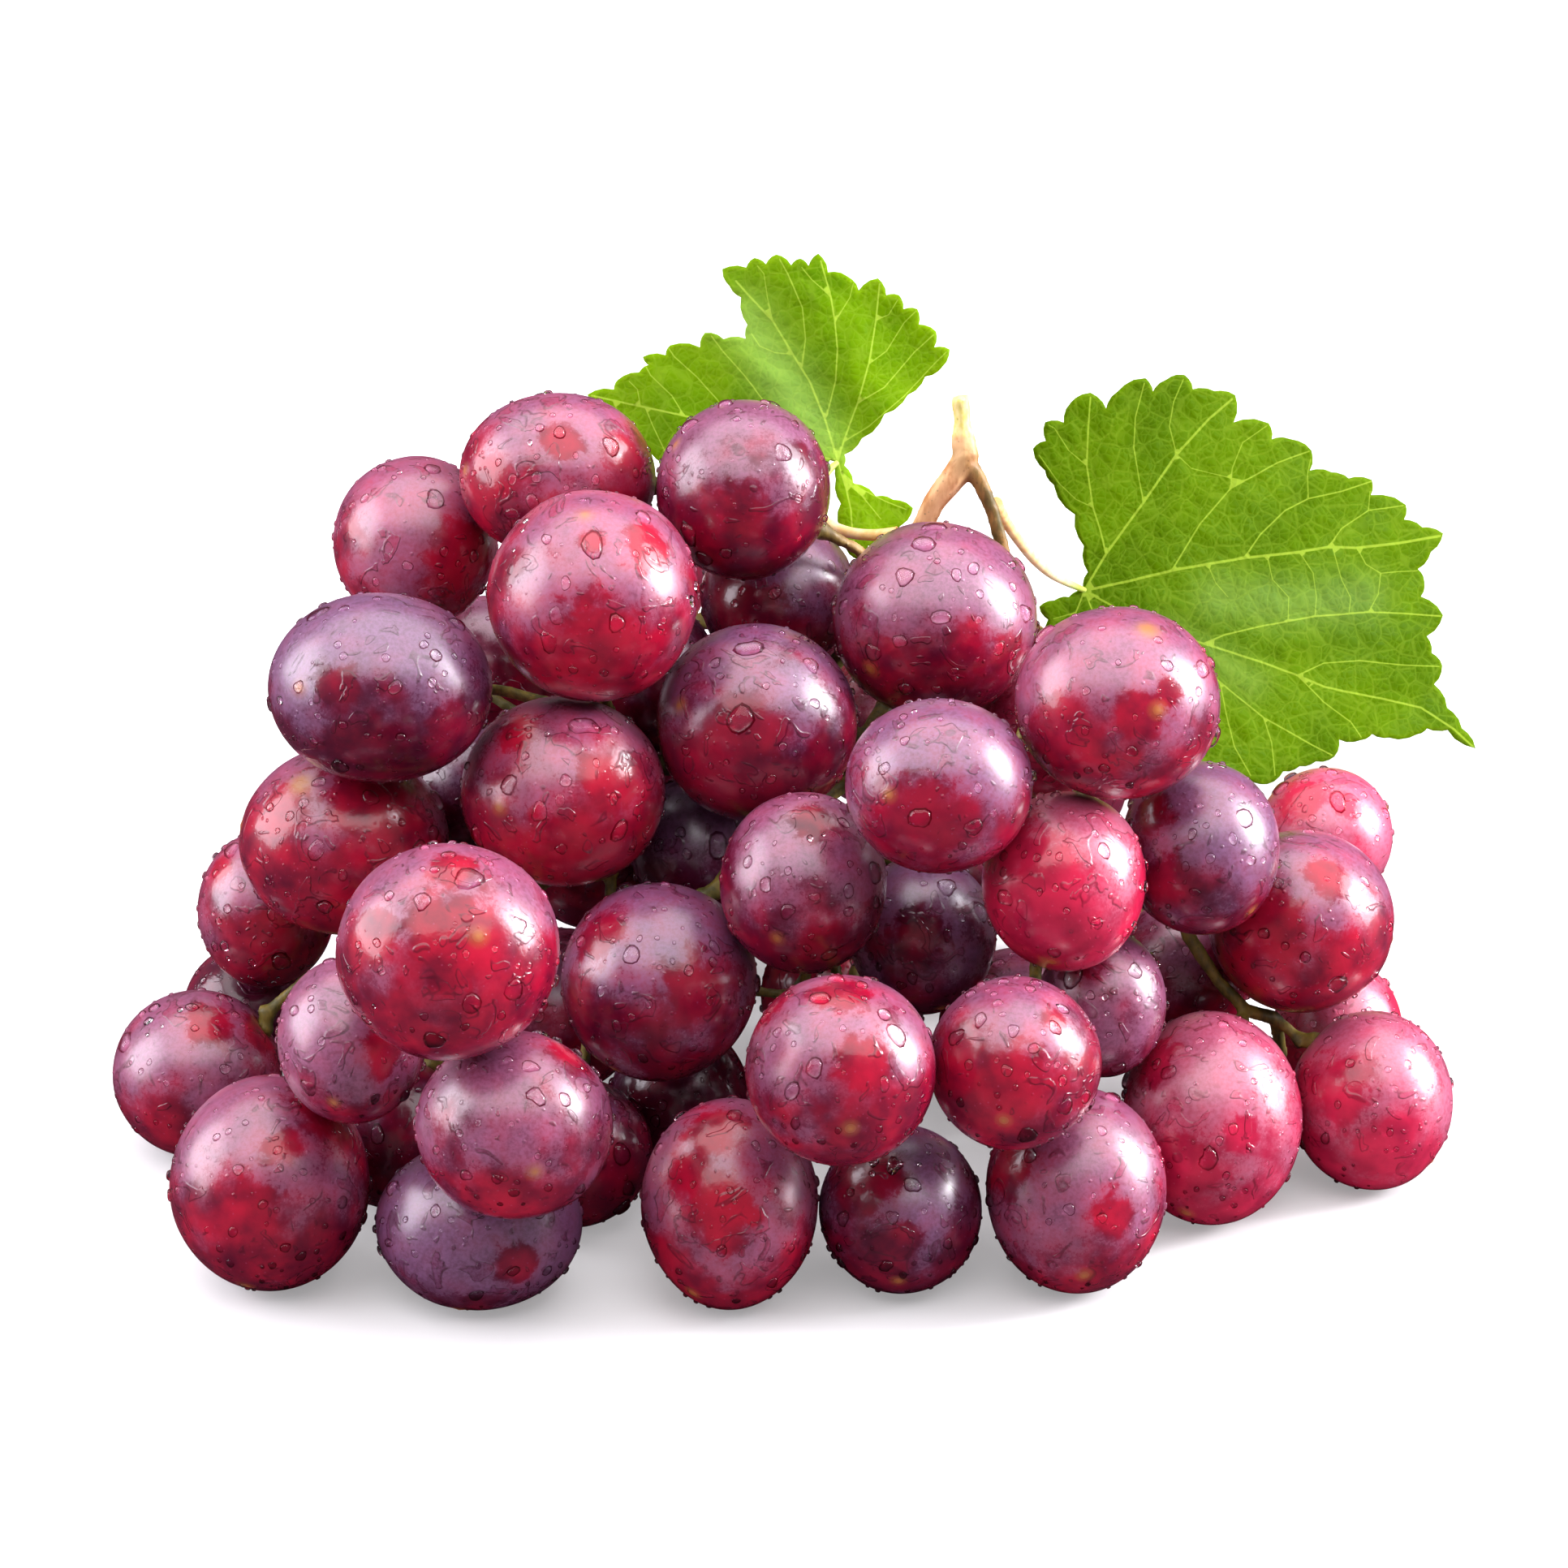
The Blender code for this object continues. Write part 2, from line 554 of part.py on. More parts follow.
def stalk_runs(points, parent, width, ends):
    """Cut the tree into runs of points with radii, each starting inside the one it leaves."""
    places = [np.asarray(point) for point in points]
    before = [int(node) for node in parent]
    carried = np.zeros(len(points) + 3 * len(ends), dtype=int)
    radius = np.full(len(carried), PEDICEL_RADIUS)
    for node, tip, room in ends:
        out = (tip - points[node]) / np.linalg.norm(tip - points[node])
        swollen = min(PEDICEL_END_RADIUS, room - STALK_GAP)
        steps = [(PEDICEL_END_LENGTH, PEDICEL_RADIUS), (0.6, swollen), (0.0, swollen * 0.85)]
        for back, thick in steps:
            radius[len(places)] = thick
            before.append(node)
            node = len(places)
            places.append(tip - out * back)
        while node >= 0:
            carried[node] += 1
            node = before[node]
    children = {}
    for node in np.where(carried > 0)[0]:
        children.setdefault(before[node], []).append(int(node))
    # a run is no thicker than the tightest gap on either side of each point allows
    for node in np.where(carried[:len(points)] > 0)[0]:
        kids = [kid for kid in children[int(node)] if kid < len(points)]
        tight = min([width[node]] + [width[kid] for kid in kids])
        wanted = min(PEDICEL_RADIUS * carried[node] ** STALK_GROWTH, STALK_MAX_RADIUS)
        radius[node] = max(min(wanted, tight - STALK_GAP), 0.8)
    runs = []
    starts = [(None, node) for node in children[-1]]
    while starts:
        origin, node = starts.pop()
        run = [] if origin is None else [(places[origin], min(radius[origin], radius[node]))]
        slim = carried[node] == 1
        while True:
            run.append((places[node], radius[node]))
            kids = sorted(children.get(node, []), key=lambda kid: -carried[kid])
            if not kids:
                break
            starts += [(node, kid) for kid in kids[1:]]
            node = kids[0]
        runs.append((run, slim))
    return runs


# Building the meshes

def start_clean():
    for item in list(bpy.data.objects):
        bpy.data.objects.remove(item, do_unlink=True)
    for group in list(bpy.data.collections):
        bpy.data.collections.remove(group)


def new_collection(name):
    group = bpy.data.collections.new(name)
    bpy.context.scene.collection.children.link(group)
    return group


def new_material(name, colour, roughness):
    material = bpy.data.materials.new(name)
    material.use_nodes = True
    shader = material.node_tree.nodes["Principled BSDF"]
    shader.inputs["Base Color"].default_value = (*colour, 1.0)
    shader.inputs["Roughness"].default_value = roughness
    shader.inputs["Metallic"].default_value = 0.0
    return material


def turn_outward(bm):
    bm.normal_update()
    bmesh.ops.recalc_face_normals(bm, faces=bm.faces)
    if bm.calc_volume(signed=True) < 0:
        bmesh.ops.reverse_faces(bm, faces=bm.faces)


def mesh_object(name, bm, location, material, group):
    mesh = bpy.data.meshes.new(name)
    bm.to_mesh(mesh)
    bm.free()
    mesh.materials.append(material)
    item = bpy.data.objects.new(name, mesh)
    item.location = location
    group.objects.link(item)
    return item


def make_berry(number, centre, semi, material, group):
    """A faceted ellipsoid, cut flat where it would reach below the table."""
    bm = bmesh.new()
    bmesh.ops.create_uvsphere(bm, u_segments=BERRY_SEGMENTS, v_segments=BERRY_RINGS, radius=1.0)
    spin = Matrix.Rotation(GOLDEN_ANGLE * number, 4, "Z")
    shape = SIGHT_AXES.T @ np.diag(semi) @ SIGHT_AXES * FACET_GROWTH * MM
    bm.transform(Matrix(shape.tolist()).to_4x4() @ spin)
    floor = -centre[2] * MM
    if min(v.co.z for v in bm.verts) < floor:
        everything = bm.verts[:] + bm.edges[:] + bm.faces[:]
        cut = bmesh.ops.bisect_plane(bm, geom=everything, dist=1e-7, plane_co=(0, 0, floor),
                                     plane_no=(0, 0, -1), clear_outer=True)
        rim = [e for e in cut["geom_cut"] if isinstance(e, bmesh.types.BMEdge)]
        bmesh.ops.edgeloop_fill(bm, edges=rim)
    turn_outward(bm)
    place = Vector((centre * MM).tolist())
    item = mesh_object(f"berry_{number:02d}", bm, place, material, group)
    item.data.shade_smooth()
    item.data.set_sharp_from_angle(angle=math.radians(60))
    return item


def tube_mesh(name, run, group, slim=False):
    """A tube through points with their own radii, six-sided or four, with welded ends."""
    curve = bpy.data.curves.new(name, "CURVE")
    curve.dimensions = "3D"
    curve.bevel_depth = MM * (SLIM_GROWTH if slim else 1.0)
    curve.bevel_resolution = 0 if slim else 1
    curve.use_fill_caps = True
    spline = curve.splines.new("POLY")
    spline.points.add(len(run) - 1)
    for knot, (place, radius) in zip(spline.points, run):
        knot.co = (*(np.asarray(place) * MM).tolist(), 1.0)
        knot.radius = radius
    drawn = bpy.data.objects.new(name + "_curve", curve)
    group.objects.link(drawn)
    bpy.context.view_layer.update()
    mesh = bpy.data.meshes.new_from_object(drawn.evaluated_get(bpy.context.evaluated_depsgraph_get()))
    place = drawn.matrix_world.copy()
    bpy.data.objects.remove(drawn, do_unlink=True)
    bm = bmesh.new()
    bm.from_mesh(mesh)
    bmesh.ops.remove_doubles(bm, verts=bm.verts, dist=0.00001)
    turn_outward(bm)
    bm.to_mesh(mesh)
    bm.free()
    item = bpy.data.objects.new(name, mesh)
    item.matrix_world = place
    group.objects.link(item)
    return item


def keep_outer_skin(mesh):
    """Fill the hollows that fusing sealed and drop loose scraps: one closed skin stays."""
    bm = bmesh.new()
    bm.from_mesh(mesh)
    bmesh.ops.triangulate(bm, faces=bm.faces)
    waiting = set(bm.faces)
    skins = []
    while waiting:
        skin = [waiting.pop()]
        for face in skin:
            for edge in face.edges:
                for other in edge.link_faces:
                    if len(edge.link_faces) == 2 and other in waiting:
                        waiting.remove(other)
                        skin.append(other)
        skins.append(skin)
    largest = max(skins, key=len)
    spare = [face for skin in skins if skin is not largest for face in skin]
    bmesh.ops.delete(bm, geom=spare, context="FACES")
    bm.to_mesh(mesh)
    bm.free()


def union(name, pieces, material, group):
    """Join the first piece and the others into one closed body."""
    body = pieces[0]
    body.name = name
    helpers = bpy.data.collections.new(name + "_pieces")
    for piece in pieces[1:]:
        for owner in list(piece.users_collection):
            owner.objects.unlink(piece)
        helpers.objects.link(piece)
    bpy.context.scene.collection.children.link(helpers)
    join = body.modifiers.new("join", "BOOLEAN")
    join.operation = "UNION"
    join.operand_type = "COLLECTION"
    join.collection = helpers
    join.solver = "MANIFOLD"
    bpy.context.view_layer.update()
    mesh = bpy.data.meshes.new_from_object(body.evaluated_get(bpy.context.evaluated_depsgraph_get()))
    body.modifiers.remove(join)
    body.data = mesh
    for piece in list(helpers.objects):
        bpy.data.objects.remove(piece, do_unlink=True)
    bpy.data.collections.remove(helpers)
    keep_outer_skin(mesh)
    mesh.materials.clear()
    mesh.materials.append(material)
    if body.name not in group.objects:
        group.objects.link(body)
    return body


def drawn_path(pixels, radii):
    """A stalk in sight: pixel points with depths, and a radius for each."""
    return [(seen_at(*pixel), radius) for pixel, radius in zip(pixels, radii)]


def taper(path, first, last):
    return np.linspace(first, last, len(path))


def make_stem(centres, semi, material, group, work):
    left_end = seen_at(*LEFT_BRANCH_PATH[-1])
    right_end = seen_at(*RIGHT_BRANCH_PATH[-1])
    roots = np.array([left_end, right_end])
    spine = [
        [left_end, (5, 25, 48), (-25, 5, 42), (-50, -5, 40)],
        [right_end, (35, 8, 60), (50, 5, 34), (66, 4, 22)],
        [(5, 25, 48), (0, 20, 24)],
    ]
    guides = [np.array([seen_at(*pixel) for pixel in path]) for path in SIDE_STALK_PATHS]
    bead_places, bead_sizes = leaf_beads()
    berries = len(centres)
    centres = np.vstack([centres, bead_places])
    semi = np.vstack([semi, bead_sizes])
    points, parent, ends = grow_stalks(centres, semi, roots, spine, guides, berries)
    fixed = len(roots) + sum(len(guide) for guide in guides)
    parent = straighten(points, parent, ends, centres, semi, fixed)
    width = room_along(points, parent, ends, centres, semi)
    runs = stalk_runs(points, parent, width, ends)
    left = drawn_path(LEFT_BRANCH_PATH, taper(LEFT_BRANCH_PATH, FORK_RADIUS, 1.45))
    right = drawn_path(RIGHT_BRANCH_PATH, taper(RIGHT_BRANCH_PATH, 1.2, 0.95))
    peduncle = drawn_path(PEDUNCLE_PATH, PEDUNCLE_RADII)
    runs = [(peduncle, False), (left, False), (right, False)] + runs
    pieces = [tube_mesh(f"stalk_{k:03d}", run, work, slim) for k, (run, slim) in enumerate(runs)]
    return union("stem", pieces, material, group)


def make_blade(name, outline, depth_of, material, group, work):
    """A flat outline filled with triangles, laid on the leaf's curved face and thickened."""
    flat = [Vector(pixel) for pixel in outline]
    across = [p.x for p in flat]
    down = [p.y for p in flat]
    step = LEAF_MESH_STEP / MM_PER_PIXEL
    count = len(flat)
    for row, y in enumerate(np.arange(min(down) + step / 2, max(down), step * 0.87)):
        for x in np.arange(min(across) + (row % 2) * step / 2, max(across), step):
            point = Vector((float(x), float(y)))
            if well_inside(point, flat[:count], step * 0.33):
                flat.append(point)
    edges = [(k, (k + 1) % count) for k in range(count)]
    verts, _, faces, _, _, _ = delaunay_2d_cdt(flat, edges, [], 1, 1e-4)
    bm = bmesh.new()
    laid = [bm.verts.new((seen_at(v.x, v.y, depth_of(v.x, v.y)) * MM).tolist()) for v in verts]
    for face in faces:
        bm.faces.new([laid[k] for k in face])
    bmesh.ops.recalc_face_normals(bm, faces=bm.faces)
    blade = mesh_object(name, bm, (0, 0, 0), material, work)
    thicken = blade.modifiers.new("thickness", "SOLIDIFY")
    thicken.thickness = LEAF_THICKNESS * MM
    thicken.offset = 0.0
    bpy.context.view_layer.update()
    mesh = bpy.data.meshes.new_from_object(blade.evaluated_get(bpy.context.evaluated_depsgraph_get()))
    blade.modifiers.remove(thicken)
    blade.data = mesh
    bm = bmesh.new()
    bm.from_mesh(mesh)
    bmesh.ops.triangulate(bm, faces=bm.faces)
    turn_outward(bm)
    bm.to_mesh(mesh)
    bm.free()
    return blade


def well_inside(point, outline, margin):
    """True for a point inside the outline and at least a margin from its edge."""
    inside = False
    for a, b in zip(outline, outline[1:] + outline[:1]):
        side = b - a
        part = max(0.0, min(1.0, (point - a).dot(side) / side.length_squared))
        if (a + side * part - point).length < margin:
            return False
        if (a.y > point.y) != (b.y > point.y):
            cross = a.x + (point.y - a.y) * (b.x - a.x) / (b.y - a.y)
            inside = inside != (cross > point.x)
    return inside


def make_leaf(name, outline, depth_of, petiole, material, group, work):
    blade = make_blade(name, outline, depth_of, material, group, work)
    stalk = drawn_path(petiole, taper(petiole, PETIOLE_RADIUS, 1.0))
    stalk_piece = tube_mesh(name + "_petiole", stalk, work)
    return union(name, [blade, stalk_piece], material, group)


def centre_on_origin(items):
    """Move everything so that the middle of the bunch's footprint is the origin."""
    bpy.context.view_layer.update()
    corners = np.array([item.matrix_world @ v.co for item in items for v in item.data.vertices])
    low = corners.min(0)
    high = corners.max(0)
    shift = Vector((-(low[0] + high[0]) / 2, -(low[1] + high[1]) / 2, -low[2]))
    for item in items:
        item.location = item.location + shift


def main():
    start_clean()
    bunch = new_collection("bunch_of_grapes")
    work = new_collection("cutters")
    crimson = new_material("skin_crimson", (0.30, 0.02, 0.05), 0.30)
    plum = new_material("skin_plum", (0.14, 0.02, 0.06), 0.35)
    rose = new_material("skin_rose", (0.50, 0.05, 0.10), 0.30)
    stalk_wood = new_material("stalk", (0.42, 0.27, 0.09), 0.60)
    left_green = new_material("leaf_light", (0.22, 0.45, 0.03), 0.50)
    right_green = new_material("leaf_dark", (0.12, 0.30, 0.02), 0.55)

    centres, semi = settle_berries()
    items = []
    for index, (centre, half) in enumerate(zip(centres, semi)):
        number = index + 1
        skin = plum if number in DARK_BERRIES else rose if number in ROSE_BERRIES else crimson
        items.append(make_berry(number, centre, half, skin, bunch))
    items.append(make_stem(centres, semi, stalk_wood, bunch, work))
    items.append(make_leaf("leaf_left", LEFT_LEAF_OUTLINE, leaf_depth_left,
                           LEFT_PETIOLE_PATH, left_green, bunch, work))
    items.append(make_leaf("leaf_right", RIGHT_LEAF_OUTLINE, leaf_depth_right,
                           RIGHT_PETIOLE_PATH, right_green, bunch, work))
    centre_on_origin(items)
    print("pieces", len(items))


main()
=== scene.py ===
# %% [markdown]
# # A bunch of red table grapes
#
# Fifty-seven berries hang on one branched stalk with two toothed vine leaves, and the whole
# bunch lies on a white table. The solids are ready: this lesson dresses them with skin, waxy
# bloom, water, bark and veins.

import math

import bmesh
import bpy
import numpy as np
from mathutils import Matrix, Vector
from mathutils.geometry import delaunay_2d_cdt


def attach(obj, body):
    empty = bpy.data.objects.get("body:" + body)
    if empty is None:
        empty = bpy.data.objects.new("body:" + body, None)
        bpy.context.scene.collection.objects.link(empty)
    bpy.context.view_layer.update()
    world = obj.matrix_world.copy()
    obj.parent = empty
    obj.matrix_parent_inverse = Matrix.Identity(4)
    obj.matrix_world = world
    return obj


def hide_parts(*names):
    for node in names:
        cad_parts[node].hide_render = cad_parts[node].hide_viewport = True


MM = 0.001
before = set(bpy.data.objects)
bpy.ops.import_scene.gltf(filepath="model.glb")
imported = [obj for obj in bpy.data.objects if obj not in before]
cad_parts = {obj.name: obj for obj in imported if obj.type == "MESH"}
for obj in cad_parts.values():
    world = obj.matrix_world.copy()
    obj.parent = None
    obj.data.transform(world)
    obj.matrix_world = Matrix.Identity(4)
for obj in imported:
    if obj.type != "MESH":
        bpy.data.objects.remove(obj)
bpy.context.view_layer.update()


def new_object(name, data):
    """An object in the scene that holds this data."""
    item = bpy.data.objects.new(name, data)
    bpy.context.scene.collection.objects.link(item)
    return item


def finished_mesh(item):
    """The mesh that an object's modifiers or curve make. The object itself goes."""
    bpy.context.view_layer.update()
    graph = bpy.context.evaluated_depsgraph_get()
    mesh = bpy.data.meshes.new_from_object(item.evaluated_get(graph))
    bpy.data.objects.remove(item, do_unlink=True)
    return mesh


def unit_of(vector):
    """The vector at a length of one."""
    return vector / np.linalg.norm(vector)


def hill(distance, width):
    """One at no distance, falling softly to nothing beyond the width."""
    return np.exp(-(distance / width) ** 2)


# %% [markdown]
# ## The way the bunch is looked at
#
# Every point of the bunch was placed on a line of sight from one eye, 750 mm away and 30
# degrees above the table. The same three axes turn a place in the picture into a place on
# a leaf or on a berry's skin, and they also aim the camera.

# %% Axes of sight
SIGHT_TILT = math.radians(30)
SIGHT_DISTANCE = 750.0
SIGHT_AIM_HEIGHT = 56.0
PICTURE_SIZE = 1932
PICTURE_MIDDLE = 966.0
MM_PER_PIXEL = 0.105
RIGHT = np.array([1.0, 0.0, 0.0])
AWAY = np.array([0.0, math.cos(SIGHT_TILT), -math.sin(SIGHT_TILT)])
UP = np.array([0.0, math.sin(SIGHT_TILT), math.cos(SIGHT_TILT)])
SIGHT_AXES = np.stack([RIGHT, UP, AWAY])


def sight_slope(across, down):
    """Direction through a pixel, one unit long along the line of sight."""
    right = (across - PICTURE_MIDDLE) * MM_PER_PIXEL / SIGHT_DISTANCE
    up = (PICTURE_MIDDLE - down) * MM_PER_PIXEL / SIGHT_DISTANCE
    return AWAY + RIGHT * right + UP * up


# %% [markdown]
# ## Reading each berry back from its solid
#
# The solids are faceted, but each one's corners lie on a perfect ellipsoid. Six unknowns
# describe it along the axes of sight, so a least squares fit through the corners gives the
# smooth shape back exactly, without the flat spot.

# %% Fit an ellipsoid to every berry
FACET_GROWTH = 1.008
TABLE_TOUCH = 0.02


def fit_ellipsoid(node):
    """Middle and half axes, in mm, of the round skin that a berry's solid stands for."""
    corners = np.array([v.co for v in node.data.vertices], dtype=float) / MM
    round_part = corners[corners[:, 2] > TABLE_TOUCH]
    start = round_part.mean(0)
    local = (round_part - start) @ SIGHT_AXES.T
    terms = np.hstack([local ** 2, local])
    found = np.linalg.lstsq(terms, np.ones(len(terms)), rcond=None)[0]
    offset = -found[3:] / (2 * found[:3])
    level = 1 + (found[:3] * offset ** 2).sum()
    return start + offset @ SIGHT_AXES, np.sqrt(level / found[:3]) / FACET_GROWTH


BERRY_COUNT = 57
berries = {}
for number in range(1, BERRY_COUNT + 1):
    berries[number] = fit_ellipsoid(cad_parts[f"berry_{number:02d}"])
print("berry 1: middle", np.round(berries[1][0], 1), "half axes", np.round(berries[1][1], 2))

# %% [markdown]
# ## The camera
#
# A few berries whose whole outline shows tell where the eye is. Each one's middle and its
# place in the picture give one line back to the eye's height, and the lines are averaged.

# %% Find the eye and aim the camera
SIGHTED = {1: (1036, 1318), 3: (731, 734), 6: (1377, 866), 7: (468, 848), 8: (694, 975),
           10: (1250, 1310), 12: (932, 891), 14: (1153, 764)}
EYE_HEIGHT = SIGHT_AIM_HEIGHT + SIGHT_DISTANCE * math.sin(SIGHT_TILT)

lines_back = []
for number, pixel in SIGHTED.items():
    slope = sight_slope(*pixel)
    reach = (berries[number][0][2] - EYE_HEIGHT) / slope[2]
    lines_back.append(berries[number][0] - slope * reach)
EYE = np.mean(lines_back, axis=0)

SENSOR = 36.0
camera_data = bpy.data.cameras.new("camera")
camera_data.sensor_width = SENSOR
camera_data.lens = SENSOR * SIGHT_DISTANCE / (PICTURE_SIZE * MM_PER_PIXEL)
camera_data.clip_start = 0.01
camera = new_object("camera", camera_data)
facing = Matrix((RIGHT.tolist(), UP.tolist(), (-AWAY).tolist())).transposed()
camera.matrix_world = Matrix.Translation(Vector((EYE * MM).tolist())) @ facing.to_4x4()
bpy.context.scene.camera = camera
print("eye in mm", np.round(EYE, 1), "spread", np.round(np.ptp(lines_back, axis=0), 2))

# %% [markdown]
# ## Small helpers for shader nodes
#
# A material is a graph of nodes. These helpers add one node with its settings and its inputs
# in a single line, so that each recipe below reads from top to bottom.

# %% Helpers for nodes
def feed(tree, node, inputs):
    """Give a node's sockets their values, or link them to other sockets."""
    for name, value in inputs.items():
        if isinstance(value, bpy.types.NodeSocket):
            tree.links.new(value, node.inputs[name])
        else:
            node.inputs[name].default_value = value


def add(tree, kind, inputs=None, **settings):
    """One node: settings are its properties, inputs its sockets' values or links."""
    node = tree.nodes.new(kind)
    for name, value in settings.items():
        setattr(node, name, value)
    feed(tree, node, inputs or {})
    return node


def maths(tree, operation, first, second=0.0):
    """The result of one sum on two numbers or sockets."""
    return add(tree, "ShaderNodeMath", {0: first, 1: second}, operation=operation).outputs[0]


def times(tree, first, second):
    """Two numbers or sockets multiplied."""
    return maths(tree, "MULTIPLY", first, second)


def swing(tree, value, size):
    """A value between 0 and 1, moved so that it swings about zero, and scaled."""
    return times(tree, maths(tree, "SUBTRACT", value, 0.5), size)


def ramp(tree, value, low, high, bottom=0.0, top=1.0):
    """A smooth step from bottom to top as the value goes from low to high."""
    step = add(tree, "ShaderNodeMapRange", {"Value": value, "From Min": low, "From Max": high,
               "To Min": bottom, "To Max": top}, interpolation_type="SMOOTHSTEP")
    return step.outputs[0]


def blend(tree, factor, first, second):
    """A mix of two colours, each one a socket or its shares of red, green and blue."""
    ends = [end if isinstance(end, bpy.types.NodeSocket) else (*end, 1) for end in (first, second)]
    mix = add(tree, "ShaderNodeMix", {0: factor, 6: ends[0], 7: ends[1]}, data_type="RGBA")
    return mix.outputs[2]


def here(tree):
    """Where a spot lies, in the object's own metres."""
    return add(tree, "ShaderNodeTexCoord").outputs["Object"]


def noise(tree, coordinates, size_mm, detail=2.0, roughness=0.5, distortion=0.0):
    """Cloudy noise whose blotches are about size_mm across."""
    cloud = add(tree, "ShaderNodeTexNoise", {"Vector": coordinates, "Scale": 1 / (size_mm * MM),
                "Detail": detail, "Roughness": roughness, "Distortion": distortion})
    return cloud.outputs["Fac"]


def read(tree, name):
    """A number that was painted on the mesh."""
    return add(tree, "ShaderNodeAttribute", attribute_name=name).outputs["Fac"]


def bump(tree, height, strength, distance_mm):
    """The normal of a surface with small relief."""
    return add(tree, "ShaderNodeBump", {"Height": height, "Strength": strength,
                                        "Distance": distance_mm * MM}).outputs["Normal"]


def new_group(name, inputs, outputs):
    """A node group. An input is a number with a default, or a vector where that is None."""
    group = bpy.data.node_groups.new(name, "ShaderNodeTree")
    for label, default in inputs.items():
        kind = "NodeSocketVector" if default is None else "NodeSocketFloat"
        socket = group.interface.new_socket(label, in_out="INPUT", socket_type=kind)
        if default is not None:
            socket.default_value = default
    for label in outputs:
        group.interface.new_socket(label, in_out="OUTPUT", socket_type="NodeSocketFloat")
    return group, group.nodes.new("NodeGroupInput"), group.nodes.new("NodeGroupOutput")


def place_group(tree, group, inputs):
    """One use of a node group, with its inputs."""
    return add(tree, "ShaderNodeGroup", inputs, node_tree=group)


def new_material(name):
    """A material with its node tree and its shader."""
    material = bpy.data.materials.new(name)
    material.use_nodes = True
    return material, material.node_tree, material.node_tree.nodes["Principled BSDF"]


# %% [markdown]
# ## Bloom, wiped patches and flecks
#
# A ripe grape wears a bloom: a breath of pale lilac wax. It lies in soft clouds, and where
# water ran or a finger touched, it is wiped off with a sharp ragged edge and the deep red
# flesh shows. Painting this by hand on 57 berries would take days. Here each berry carries
# one smooth painted number, "wiped", and the group frays its edge with noise. The group also
# gives thin films of water, and the winding rim of each film as a mask for painted shade.

# %% The bloom group
CLOUDS_MM = 9.0
RAGGED_MM = 2.6
GRAIN_MM = 0.5
SHEET_MM = 5.0
WAX_UNDER_FILM = 0.72

bloom_group, g_in, g_out = new_group("waxy bloom", {"Wiped": 0.0, "Amount": 0.5},
                                     ["Bloom", "Film", "Painted Rim Shade"])
tree = bloom_group
where = here(tree)
clouds = noise(tree, where, CLOUDS_MM, 3.0)
ragged = noise(tree, where, RAGGED_MM, 5.0, 0.6, 0.4)
grain = noise(tree, where, GRAIN_MM, 5.0, 0.7)
frayed = maths(tree, "ADD", g_in.outputs["Wiped"], swing(tree, ragged, 1.2))
frayed = maths(tree, "ADD", frayed, swing(tree, clouds, 0.9))
bare = ramp(tree, frayed, 0.32, 0.74)
film = ramp(tree, noise(tree, where, SHEET_MM, 1.5, 0.5, 1.8), 0.600, 0.665)
thick = maths(tree, "ADD", g_in.outputs["Amount"], swing(tree, clouds, 2.0))
thick = maths(tree, "ADD", thick, swing(tree, ragged, 0.5))
wax = ramp(tree, thick, 0.38, 1.02)
wax = times(tree, wax, ramp(tree, grain, 0.36, 0.62, 0.50, 1.0))
wax = times(tree, wax, maths(tree, "SUBTRACT", 1.0, bare))
wax = times(tree, wax, ramp(tree, film, 0.0, 1.0, 1.0, WAX_UNDER_FILM))
# The film's winding rim: a mask where shade is painted along the film's edge.
rim = times(tree, film, maths(tree, "SUBTRACT", 1.0, film))
feed(tree, g_out, {"Bloom": wax, "Film": film, "Painted Rim Shade": rim})
print("group", tree.name, "with", len(tree.nodes), "nodes")

# %% The fleck group
fleck_group, g_in, g_out = new_group("small flecks", {"Spacing": 1.5, "Size": 0.12}, ["Flecks"])
tree = fleck_group
cells = add(tree, "ShaderNodeTexVoronoi", {
    "Vector": here(tree), "Scale": maths(tree, "DIVIDE", 1 / MM, g_in.outputs["Spacing"])})
flecks = ramp(tree, cells.outputs["Distance"], 0.04, g_in.outputs["Size"], 1.0, 0.0)
feed(tree, g_out, {"Flecks": flecks})

# %% [markdown]
# ## The skins
#
# Under the wax lies a base from dark to bright red that the painted number "glow" mixes with
# noise. Wax lightens the colour, roughens it and adds a strong dull coat, which gives the
# broad lilac sheen. Bare skin is glossier with a thin coat. A film of water hides part of the
# wax, its winding rim gets painted shade, and tiny beads of water roughen the relief. Three
# ripenesses use the same recipe with their own colours.

# %% Make the three skins
CRIMSON = "skin_crimson"
PLUM = "skin_plum"
ROSE = "skin_rose"
# Deep flesh, bright flesh and wax.
SKIN_COLOURS = {
    CRIMSON: ((0.085, 0.001, 0.015), (0.40, 0.004, 0.026), (0.33, 0.100, 0.225)),
    PLUM: ((0.055, 0.001, 0.014), (0.27, 0.003, 0.023), (0.24, 0.100, 0.240)),
    ROSE: ((0.24, 0.003, 0.028), (0.58, 0.014, 0.060), (0.50, 0.140, 0.255)),
}
CORK = (0.36, 0.12, 0.022)
WAX_COVER = 0.60
PAINTED_RIM_SHADE_COVER = 2.2
PAINTED_RIM_SHADE = 0.7
SPOT_COVER = 0.4
MIST_MM = 3.2
MOTTLE_MM = 4.0
PORES_MM = 0.9


